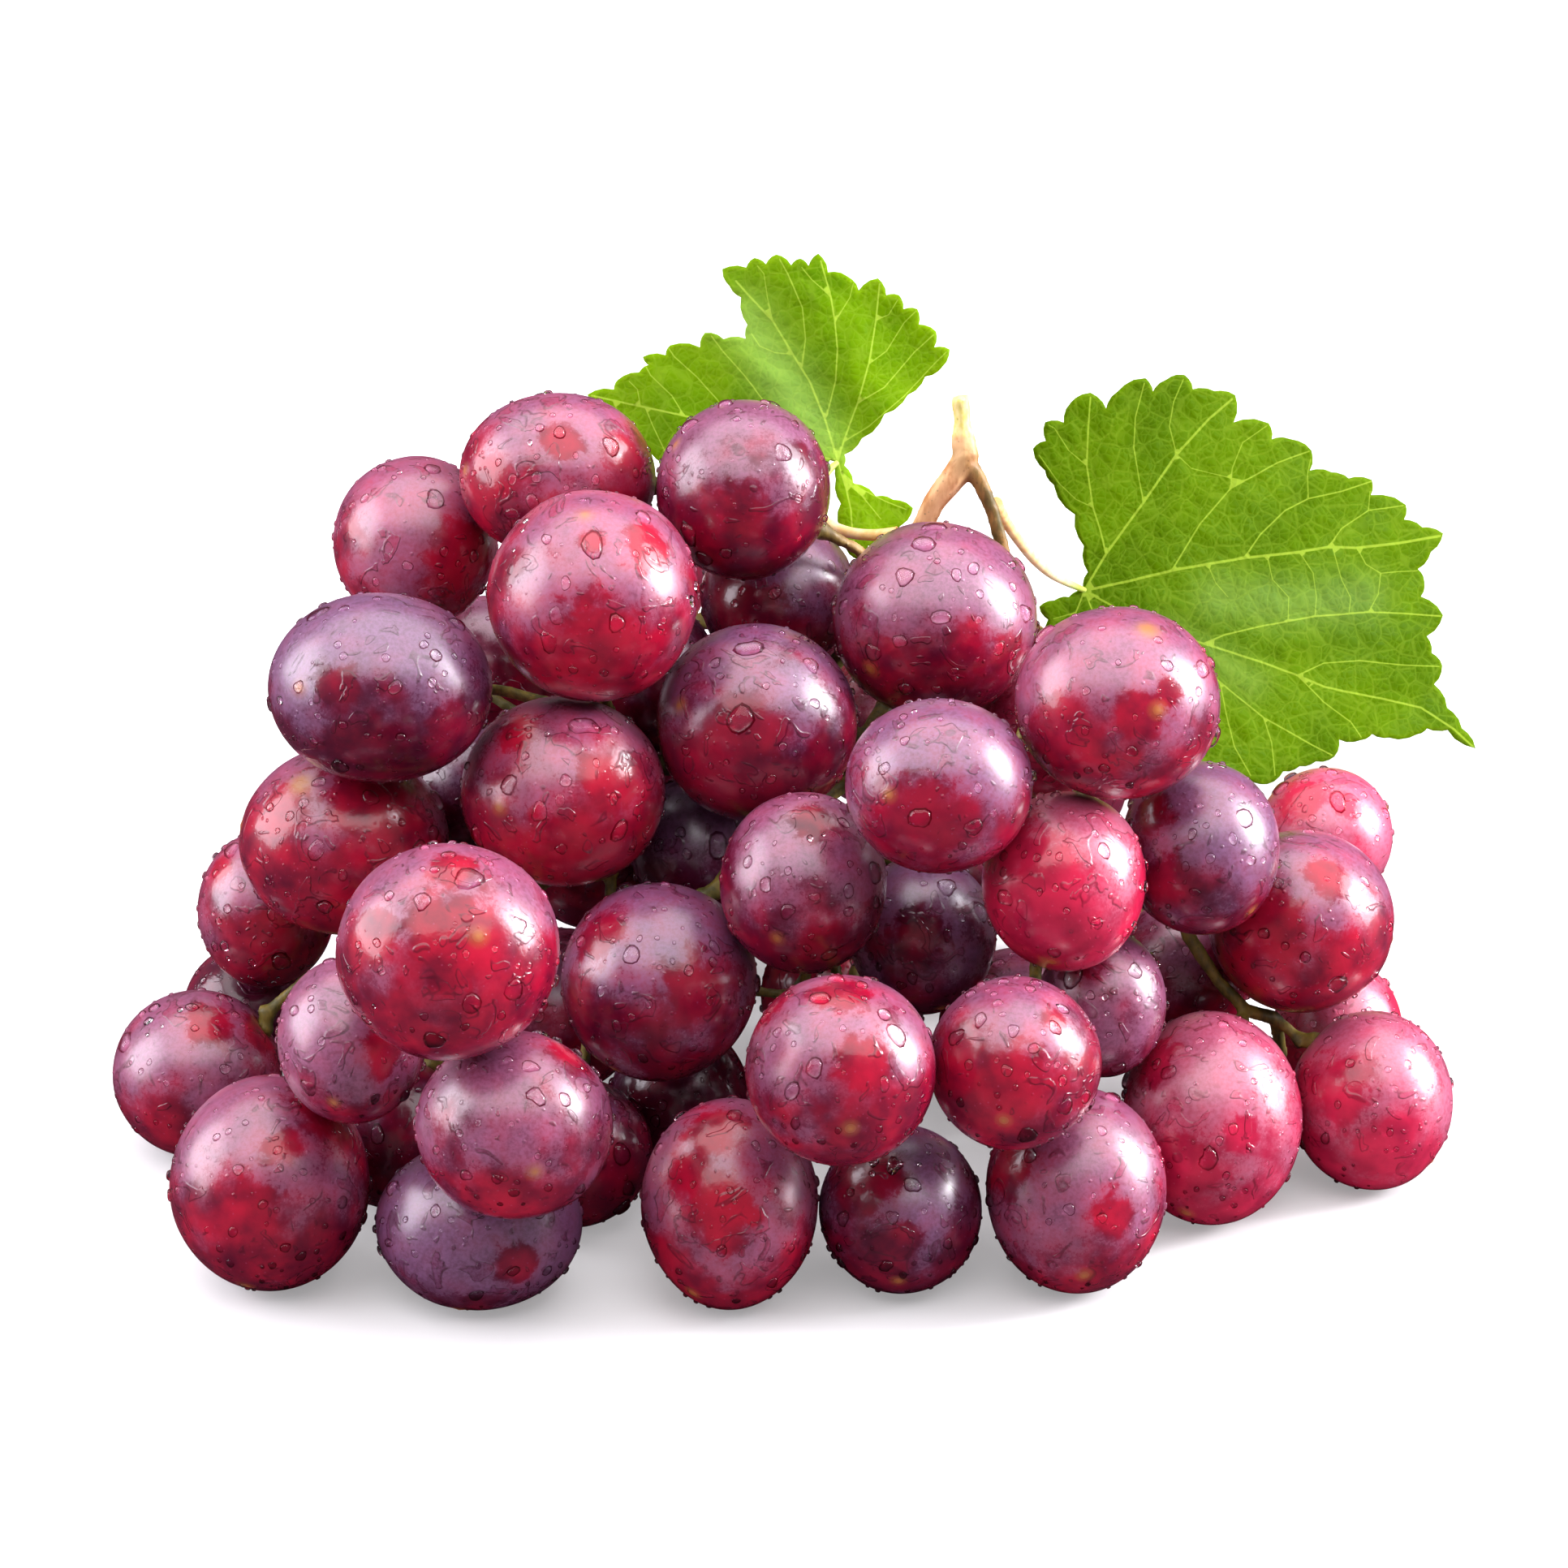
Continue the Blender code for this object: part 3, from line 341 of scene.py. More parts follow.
def berry_skin(name, deep, bright, wax_colour):
    """The skin of one ripeness."""
    material, tree, shader = new_material(name)
    bloom = place_group(tree, bloom_group, {"Wiped": read(tree, "wiped"),
                                            "Amount": read(tree, "bloom")})
    flecks = place_group(tree, fleck_group, {"Spacing": 1.1, "Size": 0.16})
    mist = place_group(tree, fleck_group, {"Spacing": 1.5, "Size": 0.22})
    where = here(tree)
    misted = ramp(tree, noise(tree, where, MIST_MM, 2.0), 0.46, 0.56)
    beads = times(tree, mist.outputs["Flecks"], misted)
    mottle = swing(tree, noise(tree, where, MOTTLE_MM, 5.0), 1.7)
    glow = ramp(tree, maths(tree, "ADD", read(tree, "glow"), mottle), -0.1, 1.1)
    colour = blend(tree, glow, deep, bright)
    colour = blend(tree, times(tree, bloom.outputs["Bloom"], WAX_COVER), colour, wax_colour)
    # Painted shade: the colour is darkened towards the deep red along the rim of each water film.
    colour = blend(tree, times(tree, bloom.outputs["Painted Rim Shade"], PAINTED_RIM_SHADE_COVER), colour,
                   [PAINTED_RIM_SHADE * part for part in deep])
    colour = blend(tree, times(tree, flecks.outputs["Flecks"], SPOT_COVER), colour,
                   [0.5 * w + 0.5 * b for w, b in zip(wax_colour, bright)])
    scar = read(tree, "scar")
    dull = times(tree, bloom.outputs["Bloom"],
                 ramp(tree, bloom.outputs["Film"], 0.0, 1.0, 1.0, 0.25))
    rough = times(tree, ramp(tree, dull, 0.0, 0.8, 0.16, 0.44),
                  ramp(tree, beads, 0.0, 1.0, 1.0, 0.35))
    height = maths(tree, "ADD", times(tree, noise(tree, where, PORES_MM, 3.0), 0.35),
                   maths(tree, "ADD", bloom.outputs["Film"], beads))
    feed(tree, shader, {
        "Base Color": blend(tree, scar, colour, CORK),
        "Roughness": maths(tree, "ADD", rough, times(tree, scar, 0.3)),
        "IOR": 1.48,
        "Coat Weight": ramp(tree, bloom.outputs["Bloom"], 0.0, 0.6, 0.22, 1.0),
        "Coat Roughness": 0.31,
        "Coat IOR": 1.62,
        "Normal": bump(tree, height, 0.7, 0.15),
    })
    return material


skins = {name: berry_skin(name, *colours) for name, colours in SKIN_COLOURS.items()}
print("skins", sorted(skins))

# %% [markdown]
# ## How each berry looks
#
# Each row gives a berry's slot, how brightly its flesh glows, how much wax it wears, and the
# wiped patches: picture column, picture row and radius in pixels. A patch is turned into a
# place on the skin by following the line of sight. Berries at the back get seeded values with
# little wax, and some of them the dark plum skin: painted shade, as they sit deep in the bunch.

# %% The looks table
LOOKS = {
    1: (CRIMSON, 0.55, 0.62, [(1066, 1312, 40), (1040, 1222, 40), (950, 1240, 36)]),
    2: (CRIMSON, 0.55, 0.54, [(566, 1160, 72), (462, 1150, 36), (560, 1068, 30)]),
    3: (CRIMSON, 0.72, 0.62, [(740, 800, 62), (800, 672, 34), (730, 665, 20)]),
    4: (PLUM, 0.75, 0.75, [(1140, 1005, 58), (1190, 1000, 24)]),
    5: (CRIMSON, 0.35, 0.68, [(1008, 1012, 34), (1020, 1160, 30)]),
    6: (CRIMSON, 0.62, 0.68, [(1400, 880, 34), (1310, 905, 50), (1440, 850, 18)]),
    7: (PLUM, 0.30, 0.62, [(420, 850, 36), (560, 900, 44)]),
    8: (CRIMSON, 0.70, 0.52, [(752, 965, 44), (700, 1050, 60), (640, 900, 36)]),
    9: (PLUM, 0.70, 0.62, [(856, 1222, 46), (740, 1150, 40)]),
    10: (CRIMSON, 0.55, 0.50, [(1240, 1335, 52), (1180, 1290, 44), (1300, 1255, 18)]),
    11: (ROSE, 0.70, 0.48, [(1290, 1078, 52), (1240, 1040, 46)]),
    12: (PLUM, 0.55, 0.45, [(915, 900, 52), (860, 960, 60), (960, 970, 50)]),
    13: (CRIMSON, 0.20, 0.50, [(890, 655, 66), (970, 670, 40), (985, 560, 22)]),
    14: (CRIMSON, 0.40, 0.66, [(1190, 790, 28), (1090, 830, 52), (1240, 810, 30)]),
    15: (CRIMSON, 0.62, 0.44, [(460, 985, 60), (345, 1000, 40), (420, 1110, 40)]),
    16: (CRIMSON, 0.45, 0.66, [(620, 1470, 34), (700, 1300, 36)]),
    17: (CRIMSON, 0.45, 1.00, [(470, 1300, 28)]),
    18: (CRIMSON, 0.68, 0.60, [(885, 1485, 46), (880, 1390, 44), (850, 1440, 36)]),
    19: (CRIMSON, 0.55, 0.75, [(1240, 1440, 40), (1370, 1500, 30)]),
    20: (PLUM, 0.35, 1.15, [(640, 1560, 30)]),
    21: (CRIMSON, 0.50, 0.55, [(300, 1500, 52), (400, 1370, 52), (350, 1410, 26)]),
    22: (PLUM, 0.45, 0.60, [(1060, 1450, 52), (1110, 1530, 26)]),
    23: (CRIMSON, 0.62, 0.52, [(600, 600, 40), (690, 540, 26), (770, 560, 34), (680, 640, 30)]),
    24: (CRIMSON, 0.75, 0.75, [(570, 680, 52)]),
    25: (PLUM, 0.55, 0.75, [(1440, 1090, 40), (1420, 1000, 30)]),
    26: (CRIMSON, 0.62, 0.55, [(1560, 1150, 56), (1660, 1190, 46), (1640, 1080, 30)]),
    27: (CRIMSON, 0.20, 0.75, [(1330, 1180, 36)]),
    28: (ROSE, 0.45, 0.68, [(1460, 1440, 52), (1420, 1310, 36), (1530, 1400, 26)]),
    29: (CRIMSON, 0.45, 0.66, [(260, 1260, 34), (200, 1390, 30), (320, 1270, 36)]),
    30: (ROSE, 0.55, 0.66, [(1650, 1340, 46), (1700, 1420, 40)]),
    31: (CRIMSON, 0.60, 0.50, [(330, 1160, 44), (270, 1070, 22)]),
    32: (ROSE, 0.90, 0.78, [(1600, 980, 40), (1660, 990, 26)]),
    33: (PLUM, 0.35, 0.70, [(1130, 1160, 40)]),
    34: (PLUM, 0.20, 0.65, []),
    35: (PLUM, 0.60, 0.55, [(920, 760, 50), (960, 790, 40)]),
    36: (ROSE, 0.60, 0.50, []),
    37: (CRIMSON, 0.45, 0.45, []),
    38: (ROSE, 0.95, 0.55, []),
}
# Back berries that wear the dark plum skin: painted shade for the deep inside of the bunch.
BACK_PLUMS_PAINTED_DARK = (39, 40, 41, 42, 43, 57)
# Corky brown spots: berry, picture column, row and radius in pixels.
CORK_SPOTS = {15: (370, 966, 13), 6: (1415, 775, 12)}
rng = np.random.default_rng(11)
# Berries left out of the table sit at the back: they get little wax and no patches, which keeps
# them dark as painted shade.
for number in berries:
    if number not in LOOKS:
        slot = PLUM if number in BACK_PLUMS_PAINTED_DARK else CRIMSON
        LOOKS[number] = (slot, rng.uniform(0.3, 0.7), rng.uniform(0.10, 0.40), [])


def to_ball(step, semi):
    """A step from a berry's middle, counted in its half axes."""
    return (step @ SIGHT_AXES.T) / semi


def from_ball(unit, semi):
    """The same step in mm again."""
    return (unit * semi) @ SIGHT_AXES


def skin_point(number, across, down):
    """Where the line of sight through a pixel first meets a berry, or passes nearest to it."""
    centre, semi = berries[number]
    start = to_ball(EYE - centre, semi)
    ray = to_ball(sight_slope(across, down), semi)
    a, b, c = ray @ ray, ray @ start, start @ start - 1.0
    root = math.sqrt(max(b * b - a * c, 0.0))
    return centre + from_ball(unit_of(start + ray * (-b - root) / a), semi)


print("looks for", len(LOOKS), "berries")

# %% [markdown]
# ## Where the stalk meets each berry
#
# A pedicel swells just before the berry and sits in a small dimple. The nearest corners of
# the stalk's solid show where that is. The berry's own pole is turned to it, so that the
# mesh is finest at the dimple, and the little scar of the flower lies at the other pole.

# %% Find the dimples
NEAREST = 5
stem_corners = np.array([v.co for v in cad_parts["stem"].data.vertices], dtype=float) / MM
dimples = {}
for number, (centre, semi) in berries.items():
    step = stem_corners - centre
    near = np.argsort(np.linalg.norm(to_ball(step, semi), axis=1))[:NEAREST]
    dimples[number] = unit_of(to_ball(step[near].mean(0), semi))
print("dimples", len(dimples))

# %% [markdown]
# ## Modelling a berry
#
# A plain sphere would look like a marble. Each berry starts as a fine ball stretched to its
# ellipsoid, then gets low lumps, the dimple, the scar and the flat spot where it rests. Lumps
# come from a few seeded waves, which is quicker than sculpting and always gives the same
# berry. The skin's painted numbers are worked out at the same time.

# %% Build the berries
AROUND = 72
RINGS = 48
LUMP_SIZE = 15.0
LUMP_HEIGHT = 0.10
DIMPLE_DEPTH = 0.75
DIMPLE_WIDTH = 0.17
DIMPLE_CORK = 0.10
SCAR_WIDTH = 0.055
SCAR_HEIGHT = 0.22
SCAR_HOLLOW_WIDTH = 0.14
SCAR_HOLLOW_DEPTH = 0.15
TOP_LIGHT_PAINTED_AS_WAX = 0.62


def waves(points, length, seed, count=9):
    """A soft seeded field between about -1 and 1 whose bumps are about length apart."""
    rng = np.random.default_rng(seed)
    total = np.zeros(len(points))
    for _ in range(count):
        direction = unit_of(rng.normal(size=3)) * rng.uniform(0.7, 1.3)
        total += np.sin(points @ direction * 2 * math.pi / length + rng.uniform(0, 6.28))
    return total / math.sqrt(count)


def ring_faces(around, rows):
    """Faces of a closed body of rings: a fan at its first corner, quads, a fan at its last."""
    after = [(k + 1) % around for k in range(around)]
    faces = [(0, 1 + k, 1 + after[k]) for k in range(around)]
    a = 1
    for _ in range(rows - 1):
        b = a + around
        faces += [(a + k, b + k, b + after[k], a + after[k]) for k in range(around)]
        a = b
    return faces + [(a + k, a + around, a + after[k]) for k in range(around)]


def ball(around, rings):
    """Unit directions of a ball's corners with its poles on Z."""
    corners = [(0, 0, 1)]
    for ring in range(1, rings):
        tilt = math.pi * ring / rings
        for k in range(around):
            turn = 2 * math.pi * k / around
            corners.append((math.sin(tilt) * math.cos(turn), math.sin(tilt) * math.sin(turn),
                            math.cos(tilt)))
    return np.array(corners + [(0, 0, -1)])


def new_mesh(name, corners, faces):
    """A mesh from corners in mm."""
    mesh = bpy.data.meshes.new(name)
    mesh.from_pydata((np.asarray(corners) * MM).tolist(), [], faces)
    return mesh


def paint(mesh, name, values):
    """Keep one number for each corner of the mesh, for the shader to read."""
    layer = mesh.attributes.new(name, "FLOAT", "POINT")
    layer.data.foreach_set("value", np.asarray(values, dtype=np.float32))


def show(name, mesh, material):
    """A smooth piece that rides on the bunch."""
    item = new_object(name, mesh)
    mesh.materials.clear()
    mesh.materials.append(material)
    mesh.shade_smooth()
    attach(item, "root")
    return item


ball_corners = ball(AROUND, RINGS)
ball_faces = ring_faces(AROUND, RINGS - 1)
from_pole = np.arccos(np.clip(ball_corners[:, 2], -1, 1))
from_scar = math.pi - from_pole
scar = hill(from_scar, SCAR_WIDTH)
relief = (DIMPLE_DEPTH * hill(from_pole, DIMPLE_WIDTH), SCAR_HEIGHT * scar,
          SCAR_HOLLOW_DEPTH * hill(from_scar, SCAR_HOLLOW_WIDTH))
for number, (centre, semi) in berries.items():
    slot, glow, bloom, patches = LOOKS[number]
    to_pole = Vector((0, 0, 1)).rotation_difference(Vector(dimples[number].tolist()))
    turned = ball_corners @ np.array(to_pole.to_matrix()).T
    outward = (turned / semi) @ SIGHT_AXES
    outward = outward / np.linalg.norm(outward, axis=1)[:, None]
    skin = centre + from_ball(turned, semi)
    lumps = waves(skin - centre, LUMP_SIZE, 100 + number) * LUMP_HEIGHT
    height = lumps - relief[0] + relief[1] - relief[2]
    skin = skin + outward * height[:, None]
    wiped = np.zeros(len(skin))
    for across, down, radius in patches:
        away = np.linalg.norm(skin - skin_point(number, across, down), axis=1)
        wiped = np.maximum(wiped, np.exp(-0.7 * (away / (radius * MM_PER_PIXEL)) ** 2))
    scarred = np.clip(scar * 1.2, 0, 1) + 0.6 * hill(from_pole, DIMPLE_CORK)
    if number in CORK_SPOTS:
        across, down, radius = CORK_SPOTS[number]
        away = np.linalg.norm(skin - skin_point(number, across, down), axis=1)
        scarred = scarred + 1.5 * hill(away, radius * MM_PER_PIXEL)
    skin[:, 2] = np.maximum(skin[:, 2], 0.0)
    mesh = new_mesh(f"grape_{number:02d}", skin, ball_faces)
    paint(mesh, "wiped", wiped)
    paint(mesh, "glow", 0.85 * glow - 0.17 + 0.34 * wiped)
    # Painted light: more wax on the upper side and less below, so tops show lilac and undersides
    # darker red as if lit from above.
    paint(mesh, "bloom", bloom + TOP_LIGHT_PAINTED_AS_WAX * (outward[:, 2] - 0.15))
    paint(mesh, "scar", np.clip(scarred, 0, 1))
    item = show(mesh.name, mesh, skins[slot])
    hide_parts(f"berry_{number:02d}")
print("berries", len(berries), "with", len(ball_faces), "faces each")

# %% [markdown]
# ## Water drops
#
# The bunch has just been rinsed. Water beads on wax: most drops are under a millimetre and
# round, and a few large ones have run together and sag. A bump could fake them from far
# away, but a real low dome of clear water bends the light, so each drop is a small closed
# lens that starts just under the skin. The large listed drops come first, and seeded ones
# fill the room between them.

# %% The water
water, tree, shader = new_material("water")
# The water's colour is painted dark red towards a drop's edges: painted shade for the dark outline
# of each drop.
edge = add(tree, "ShaderNodeLayerWeight", {"Blend": 0.5}).outputs["Facing"]
feed(tree, shader, {
    "Base Color": blend(tree, ramp(tree, edge, 0.16, 0.62), (1.0, 1.0, 1.0), (0.10, 0.006, 0.016)),
    "Roughness": 0.0,
    "IOR": 1.33,
    "Transmission Weight": 1.0,
})

# %% Scatter the drops
DROPS_PER_BERRY = 170
DROP_AROUND = 12
DROP_RINGS = 4
SINK = 0.10
SKIN_ROUND = 24.0
DROP_ROOM = 1.06
DROP_SPACING = 1.3
DROP_LOWEST = 1.0
DIMPLE_KEEP_OFF = 0.93
FALLS_OFF_BELOW = -0.5
HANGING_RADIUS = 0.45

drop_turns = np.arange(DROP_AROUND) * 2 * math.pi / DROP_AROUND
drop_faces_of_one = ring_faces(DROP_AROUND, DROP_RINGS)


def drop_lens(place, normal, radius, flatness, sag, seed):
    """Corners of one drop: a dome on the skin, closed by a disc just under it."""
    rng = np.random.default_rng(seed)
    side = unit_of(np.cross(normal, (0.0, 0.0, 1.0) if abs(normal[2]) < 0.9 else (1.0, 0.0, 0.0)))
    along = np.cross(normal, side)
    phases = rng.uniform(0, 6.28, 3)
    wobble = rng.uniform(0.0, 0.22, 3) * np.array([1.0, 0.7, 0.4]) * min(1.0, radius)
    corners = [place + normal * radius * flatness]
    rim = 1.0 + sum(w * np.cos((k + 2) * drop_turns + p)
                    for k, (w, p) in enumerate(zip(wobble, phases)))
    for ring in range(1, DROP_RINGS + 1):
        out = ring / DROP_RINGS
        up = radius * flatness * math.sqrt(max(1.0 - out ** 2.4, 0.0)) - SINK * out ** 6
        for k, turn in enumerate(drop_turns):
            reach = radius * out * rim[k]
            spot = side * math.cos(turn) * reach + along * math.sin(turn) * reach * (1 + sag)
            curve = (spot @ spot) / SKIN_ROUND
            corners.append(place + spot + normal * (up - curve))
    corners.append(place - normal * (SINK * 1.5 + radius * radius / SKIN_ROUND))
    return corners


def drop_radius(rng):
    """Mostly small beads, some larger ones and a few that have run together."""
    pick = rng.random()
    if pick > 0.90:
        return rng.uniform(0.85, 1.55)
    if pick > 0.58:
        return rng.uniform(0.50, 0.85)
    return rng.uniform(0.24, 0.50)


# The largest drops, listed one by one: berry, then picture column, row and radius in mm.
BIG_DROPS = {
    1: [(975, 1345, 1.1), (1010, 1230, 1.3), (1090, 1250, 0.9)],
    2: [(578, 1082, 1.9), (520, 1110, 1.2), (640, 1140, 1.1), (532, 1296, 2.1)],
    3: [(730, 670, 1.6), (685, 759, 1.1), (673, 664, 0.9), (760, 768, 1.2)],
    5: [(943, 1090, 1.0), (921, 1062, 0.8), (1004, 1105, 0.8), (1046, 1098, 0.9)],
    8: [(720, 894, 1.7), (627, 967, 1.4), (665, 1000, 1.3), (697, 962, 0.9)],
    12: [(912, 886, 2.0), (950, 960, 0.8)],
    14: [(1138, 670, 1.6), (1114, 710, 1.3), (1200, 700, 1.0)],
}
rng = np.random.default_rng(5)
drop_count = 0
for number, (centre, semi) in berries.items():
    others = [c for k, c in berries.items() if k != number]
    drop_corners, drop_faces = [], []
    taken = []
    beads = [(skin_point(number, across, down), radius)
             for across, down, radius in BIG_DROPS.get(number, [])]
    for unit in rng.normal(size=(DROPS_PER_BERRY, 3)):
        beads.append((centre + from_ball(unit_of(unit), semi), drop_radius(rng)))
    for place, radius in beads:
        unit = to_ball(place - centre, semi)
        normal = unit_of((unit / semi) @ SIGHT_AXES)
        room = min(np.linalg.norm(to_ball(place - c, s)) for c, s in others)
        crowded = any(np.linalg.norm(place - p) < (radius + r) * DROP_SPACING for p, r in taken)
        if room < DROP_ROOM + radius * 0.05 or place[2] < DROP_LOWEST or crowded:
            continue
        falls = normal[2] < FALLS_OFF_BELOW and radius > HANGING_RADIUS
        if unit @ dimples[number] > DIMPLE_KEEP_OFF or falls:
            continue
        taken.append((place, radius))
        more = drop_lens(place, normal, radius, rng.uniform(0.50, 0.70) - 0.12 * radius,
                         rng.uniform(-0.1, 0.35), rng.integers(1 << 30))
        start = len(drop_corners)
        drop_faces += [tuple(k + start for k in face) for face in drop_faces_of_one]
        drop_corners += more
        drop_count += 1
    name = f"drops_{number:02d}"
    item = show(name, new_mesh(name, drop_corners, drop_faces), water)
    item.visible_shadow = False
print("drops", drop_count)

# %% [markdown]
# ## The stalk
#
# The solid stalk is a tree of straight tubes. Real stalk is one grown body with soft forks,
# so a fine voxel remesh melts the tubes together, smoothing rounds them, and small collars
# are added first where the pedicels meet the berries. Bark colour changes along the way:
# pale green at the cut end, tan and orange at the fork, olive and green further in.

# %% Grow the stalk's skin
VOXEL = 0.41
SMOOTH_ROUNDS = 5
COLLAR_RADIUS = 1.55
COLLAR_END_RADIUS = 0.9
COLLAR_LENGTH = 1.3
COLLAR_SIDES = 14
COLLAR_SINK = 0.65

bm = bmesh.new()
bm.from_mesh(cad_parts["stem"].data)
for number, (centre, semi) in berries.items():
    out = from_ball(dimples[number], semi)
    reach = np.linalg.norm(out)
    out = out / reach
    middle = centre + out * (reach - COLLAR_SINK + COLLAR_LENGTH / 2)
    turn = Vector((0, 0, 1)).rotation_difference(Vector(out.tolist())).to_matrix().to_4x4()
    bmesh.ops.create_cone(bm, cap_ends=True, segments=COLLAR_SIDES, radius1=COLLAR_RADIUS * MM,
                          radius2=COLLAR_END_RADIUS * MM, depth=COLLAR_LENGTH * MM,
                          matrix=Matrix.Translation(Vector((middle * MM).tolist())) @ turn)
mesh = bpy.data.meshes.new("stalk")
bm.to_mesh(mesh)
bm.free()
stalk = new_object("stalk", mesh)
melt = stalk.modifiers.new("melt", "REMESH")
melt.mode = "VOXEL"
melt.voxel_size = VOXEL * MM
soften = stalk.modifiers.new("soften", "SMOOTH")
soften.factor = 0.5
soften.iterations = SMOOTH_ROUNDS
grown = finished_mesh(stalk)
print("stalk faces", len(grown.polygons))

# %% [markdown]
# The bark's colours follow where a spot lies along the stalk. Distances to the two branches
# that show are measured here and painted on the mesh.

# %% Paint the stalk
PEDUNCLE_PATH = [(1183, 488, 18), (1186, 520, 19), (1187, 542, 20), (1191, 566, 20)]
LEFT_BRANCH_PATH = [(1191, 566, 20), (1172, 592, 21), (1150, 620, 22.5), (1133, 655, 24.5)]
RIGHT_BRANCH_PATH = [(1191, 566, 20), (1207, 592, 20.5), (1224, 632, 22), (1238, 684, 23.5)]
RING_PLACE = (1187, 541, 20)
COLOUR_REACH = 9.0
BARK_SWELL = 0.06


def seen_at(across, down, behind):
    """The point on the line of sight through a pixel, some mm behind the middle plane."""
    return EYE + sight_slope(across, down) * (SIGHT_DISTANCE + behind)


def distance_to_path(points, path):
    """Distance from every point to a line of straight stretches, in any dimension."""
    best = np.full(len(points), 1e9)
    path = np.array(path, dtype=float)
    for a, b in zip(path[:-1], path[1:]):
        ab = b - a
        part = np.clip(((points - a) @ ab) / (ab @ ab), 0.0, 1.0)
        best = np.minimum(best, np.linalg.norm(points - a - part[:, None] * ab, axis=1))
    return best


def of_corners(mesh, what):
    """The places or the normals of a mesh's corners."""
    flat = np.zeros(len(mesh.vertices) * 3)
    mesh.vertices.foreach_get(what, flat)
    return flat.reshape(-1, 3)


spots = of_corners(grown, "co") / MM
peduncle_line, left_line, right_line = ([seen_at(*p) for p in path] for path in (
    PEDUNCLE_PATH, LEFT_BRANCH_PATH, RIGHT_BRANCH_PATH))
near_cut = distance_to_path(spots, peduncle_line[:3])
to_tan = np.minimum(distance_to_path(spots, left_line), near_cut)
to_olive = distance_to_path(spots, right_line)
tan = hill(to_tan, COLOUR_REACH) * np.clip(0.5 + (to_olive - to_tan) / 3.0, 0.12, 1.0)
above_ring = (spots - seen_at(*RING_PLACE)) @ UP
paint(grown, "tan", tan)
paint(grown, "olive", hill(to_olive, COLOUR_REACH) * (1 - 0.6 * tan))
paint(grown, "cut_end", np.clip(above_ring / 0.5, 0, 1) * (near_cut < 6.0))
grain_push = waves(spots, 2.2, 3) * 0.05 + waves(spots, 6.0, 4) * 0.06
spots = spots + of_corners(grown, "normal") * (grain_push + BARK_SWELL)[:, None]
grown.vertices.foreach_set("co", (spots * MM).ravel())
print("tan share", round(float(tan.mean()), 3))

# %% The bark
bark, tree, shader = new_material("stalk")
stretched = add(tree, "ShaderNodeMapping", {"Vector": here(tree), "Scale": (1.0, 1.0, 0.35)})
mottle = noise(tree, stretched.outputs[0], 2.2, 4.0, 0.6)
fine = noise(tree, stretched.outputs[0], 0.5, 3.0, 0.6)
# The painted number that lays each pair of colours on, where in the mottle it turns, the pair.
BARK_COLOURS = [
    ("olive", mottle, 0.40, 0.60, (0.07, 0.06, 0.008), (0.26, 0.13, 0.022)),
    ("tan", mottle, 0.38, 0.62, (0.60, 0.24, 0.07), (0.92, 0.56, 0.27)),
    ("cut_end", fine, 0.3, 0.7, (0.72, 0.62, 0.14), (0.85, 0.74, 0.32)),
]
colour = blend(tree, ramp(tree, mottle, 0.35, 0.65), (0.06, 0.055, 0.008), (0.20, 0.14, 0.02))
for painted, pattern, low, high, first, second in BARK_COLOURS:
    pair = blend(tree, ramp(tree, pattern, low, high), first, second)
    colour = blend(tree, read(tree, painted), colour, pair)
flecks = place_group(tree, fleck_group, {"Spacing": 0.9, "Size": 0.22})
feed(tree, shader, {
    "Base Color": blend(tree, times(tree, flecks.outputs[0], 0.5), colour, (0.06, 0.03, 0.01)),
    "Roughness": ramp(tree, fine, 0.3, 0.7, 0.45, 0.65),
    "Normal": bump(tree, fine, 0.5, 0.12),
})
stalk = show("stalk", grown, bark)
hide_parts("stem")

# %% [markdown]
# ## The leaves
#
# A vine leaf has five lobes fed by main veins from one point, and every tooth ends a side
# vein. Each outline and vein below is a line of picture pixels, laid on a curved face that
# gives how far back each pixel lies. The outline and the veins are edges of one fine
# triangle mesh, so a distance painted on its corners draws every vein crisply.

# %% Outlines and veins
LEFT_JUNCTION = (1032, 569)
LEFT_LEAF_OUTLINE = [
    (1032, 569), (1028, 556), (1010, 578), (985, 590), (962, 584), (948, 596), (922, 588),
    (905, 600), (880, 586), (858, 590), (842, 572), (815, 570), (800, 552), (776, 546),
    (765, 528), (745, 520), (742, 503), (724, 487), (757, 480), (762, 468), (788, 459),
    (800, 450), (792, 440), (820, 438), (826, 426), (863, 428), (869, 410), (892, 418),
    (919, 418), (921, 400), (913, 366), (899, 352), (890, 332), (920, 330), (930, 318),
    (944, 326), (957, 314), (975, 327), (986, 319), (996, 328), (1008, 313), (1020, 336),
    (1044, 341), (1058, 358), (1082, 343), (1092, 364), (1108, 364), (1113, 381),
    (1130, 381), (1132, 400), (1153, 409), (1151, 428), (1170, 431), (1161, 452),
    (1140, 464), (1118, 487), (1090, 510), (1062, 540), (1040, 560), (1040, 574),
    (1051, 596), (1079, 612), (1100, 616), (1125, 626), (1112, 646), (1096, 652),
    (1088, 668), (1070, 672), (1058, 690), (1042, 676), (1034, 650), (1036, 620),
    (1030, 590),
]
RIGHT_JUNCTION = (1335, 727)
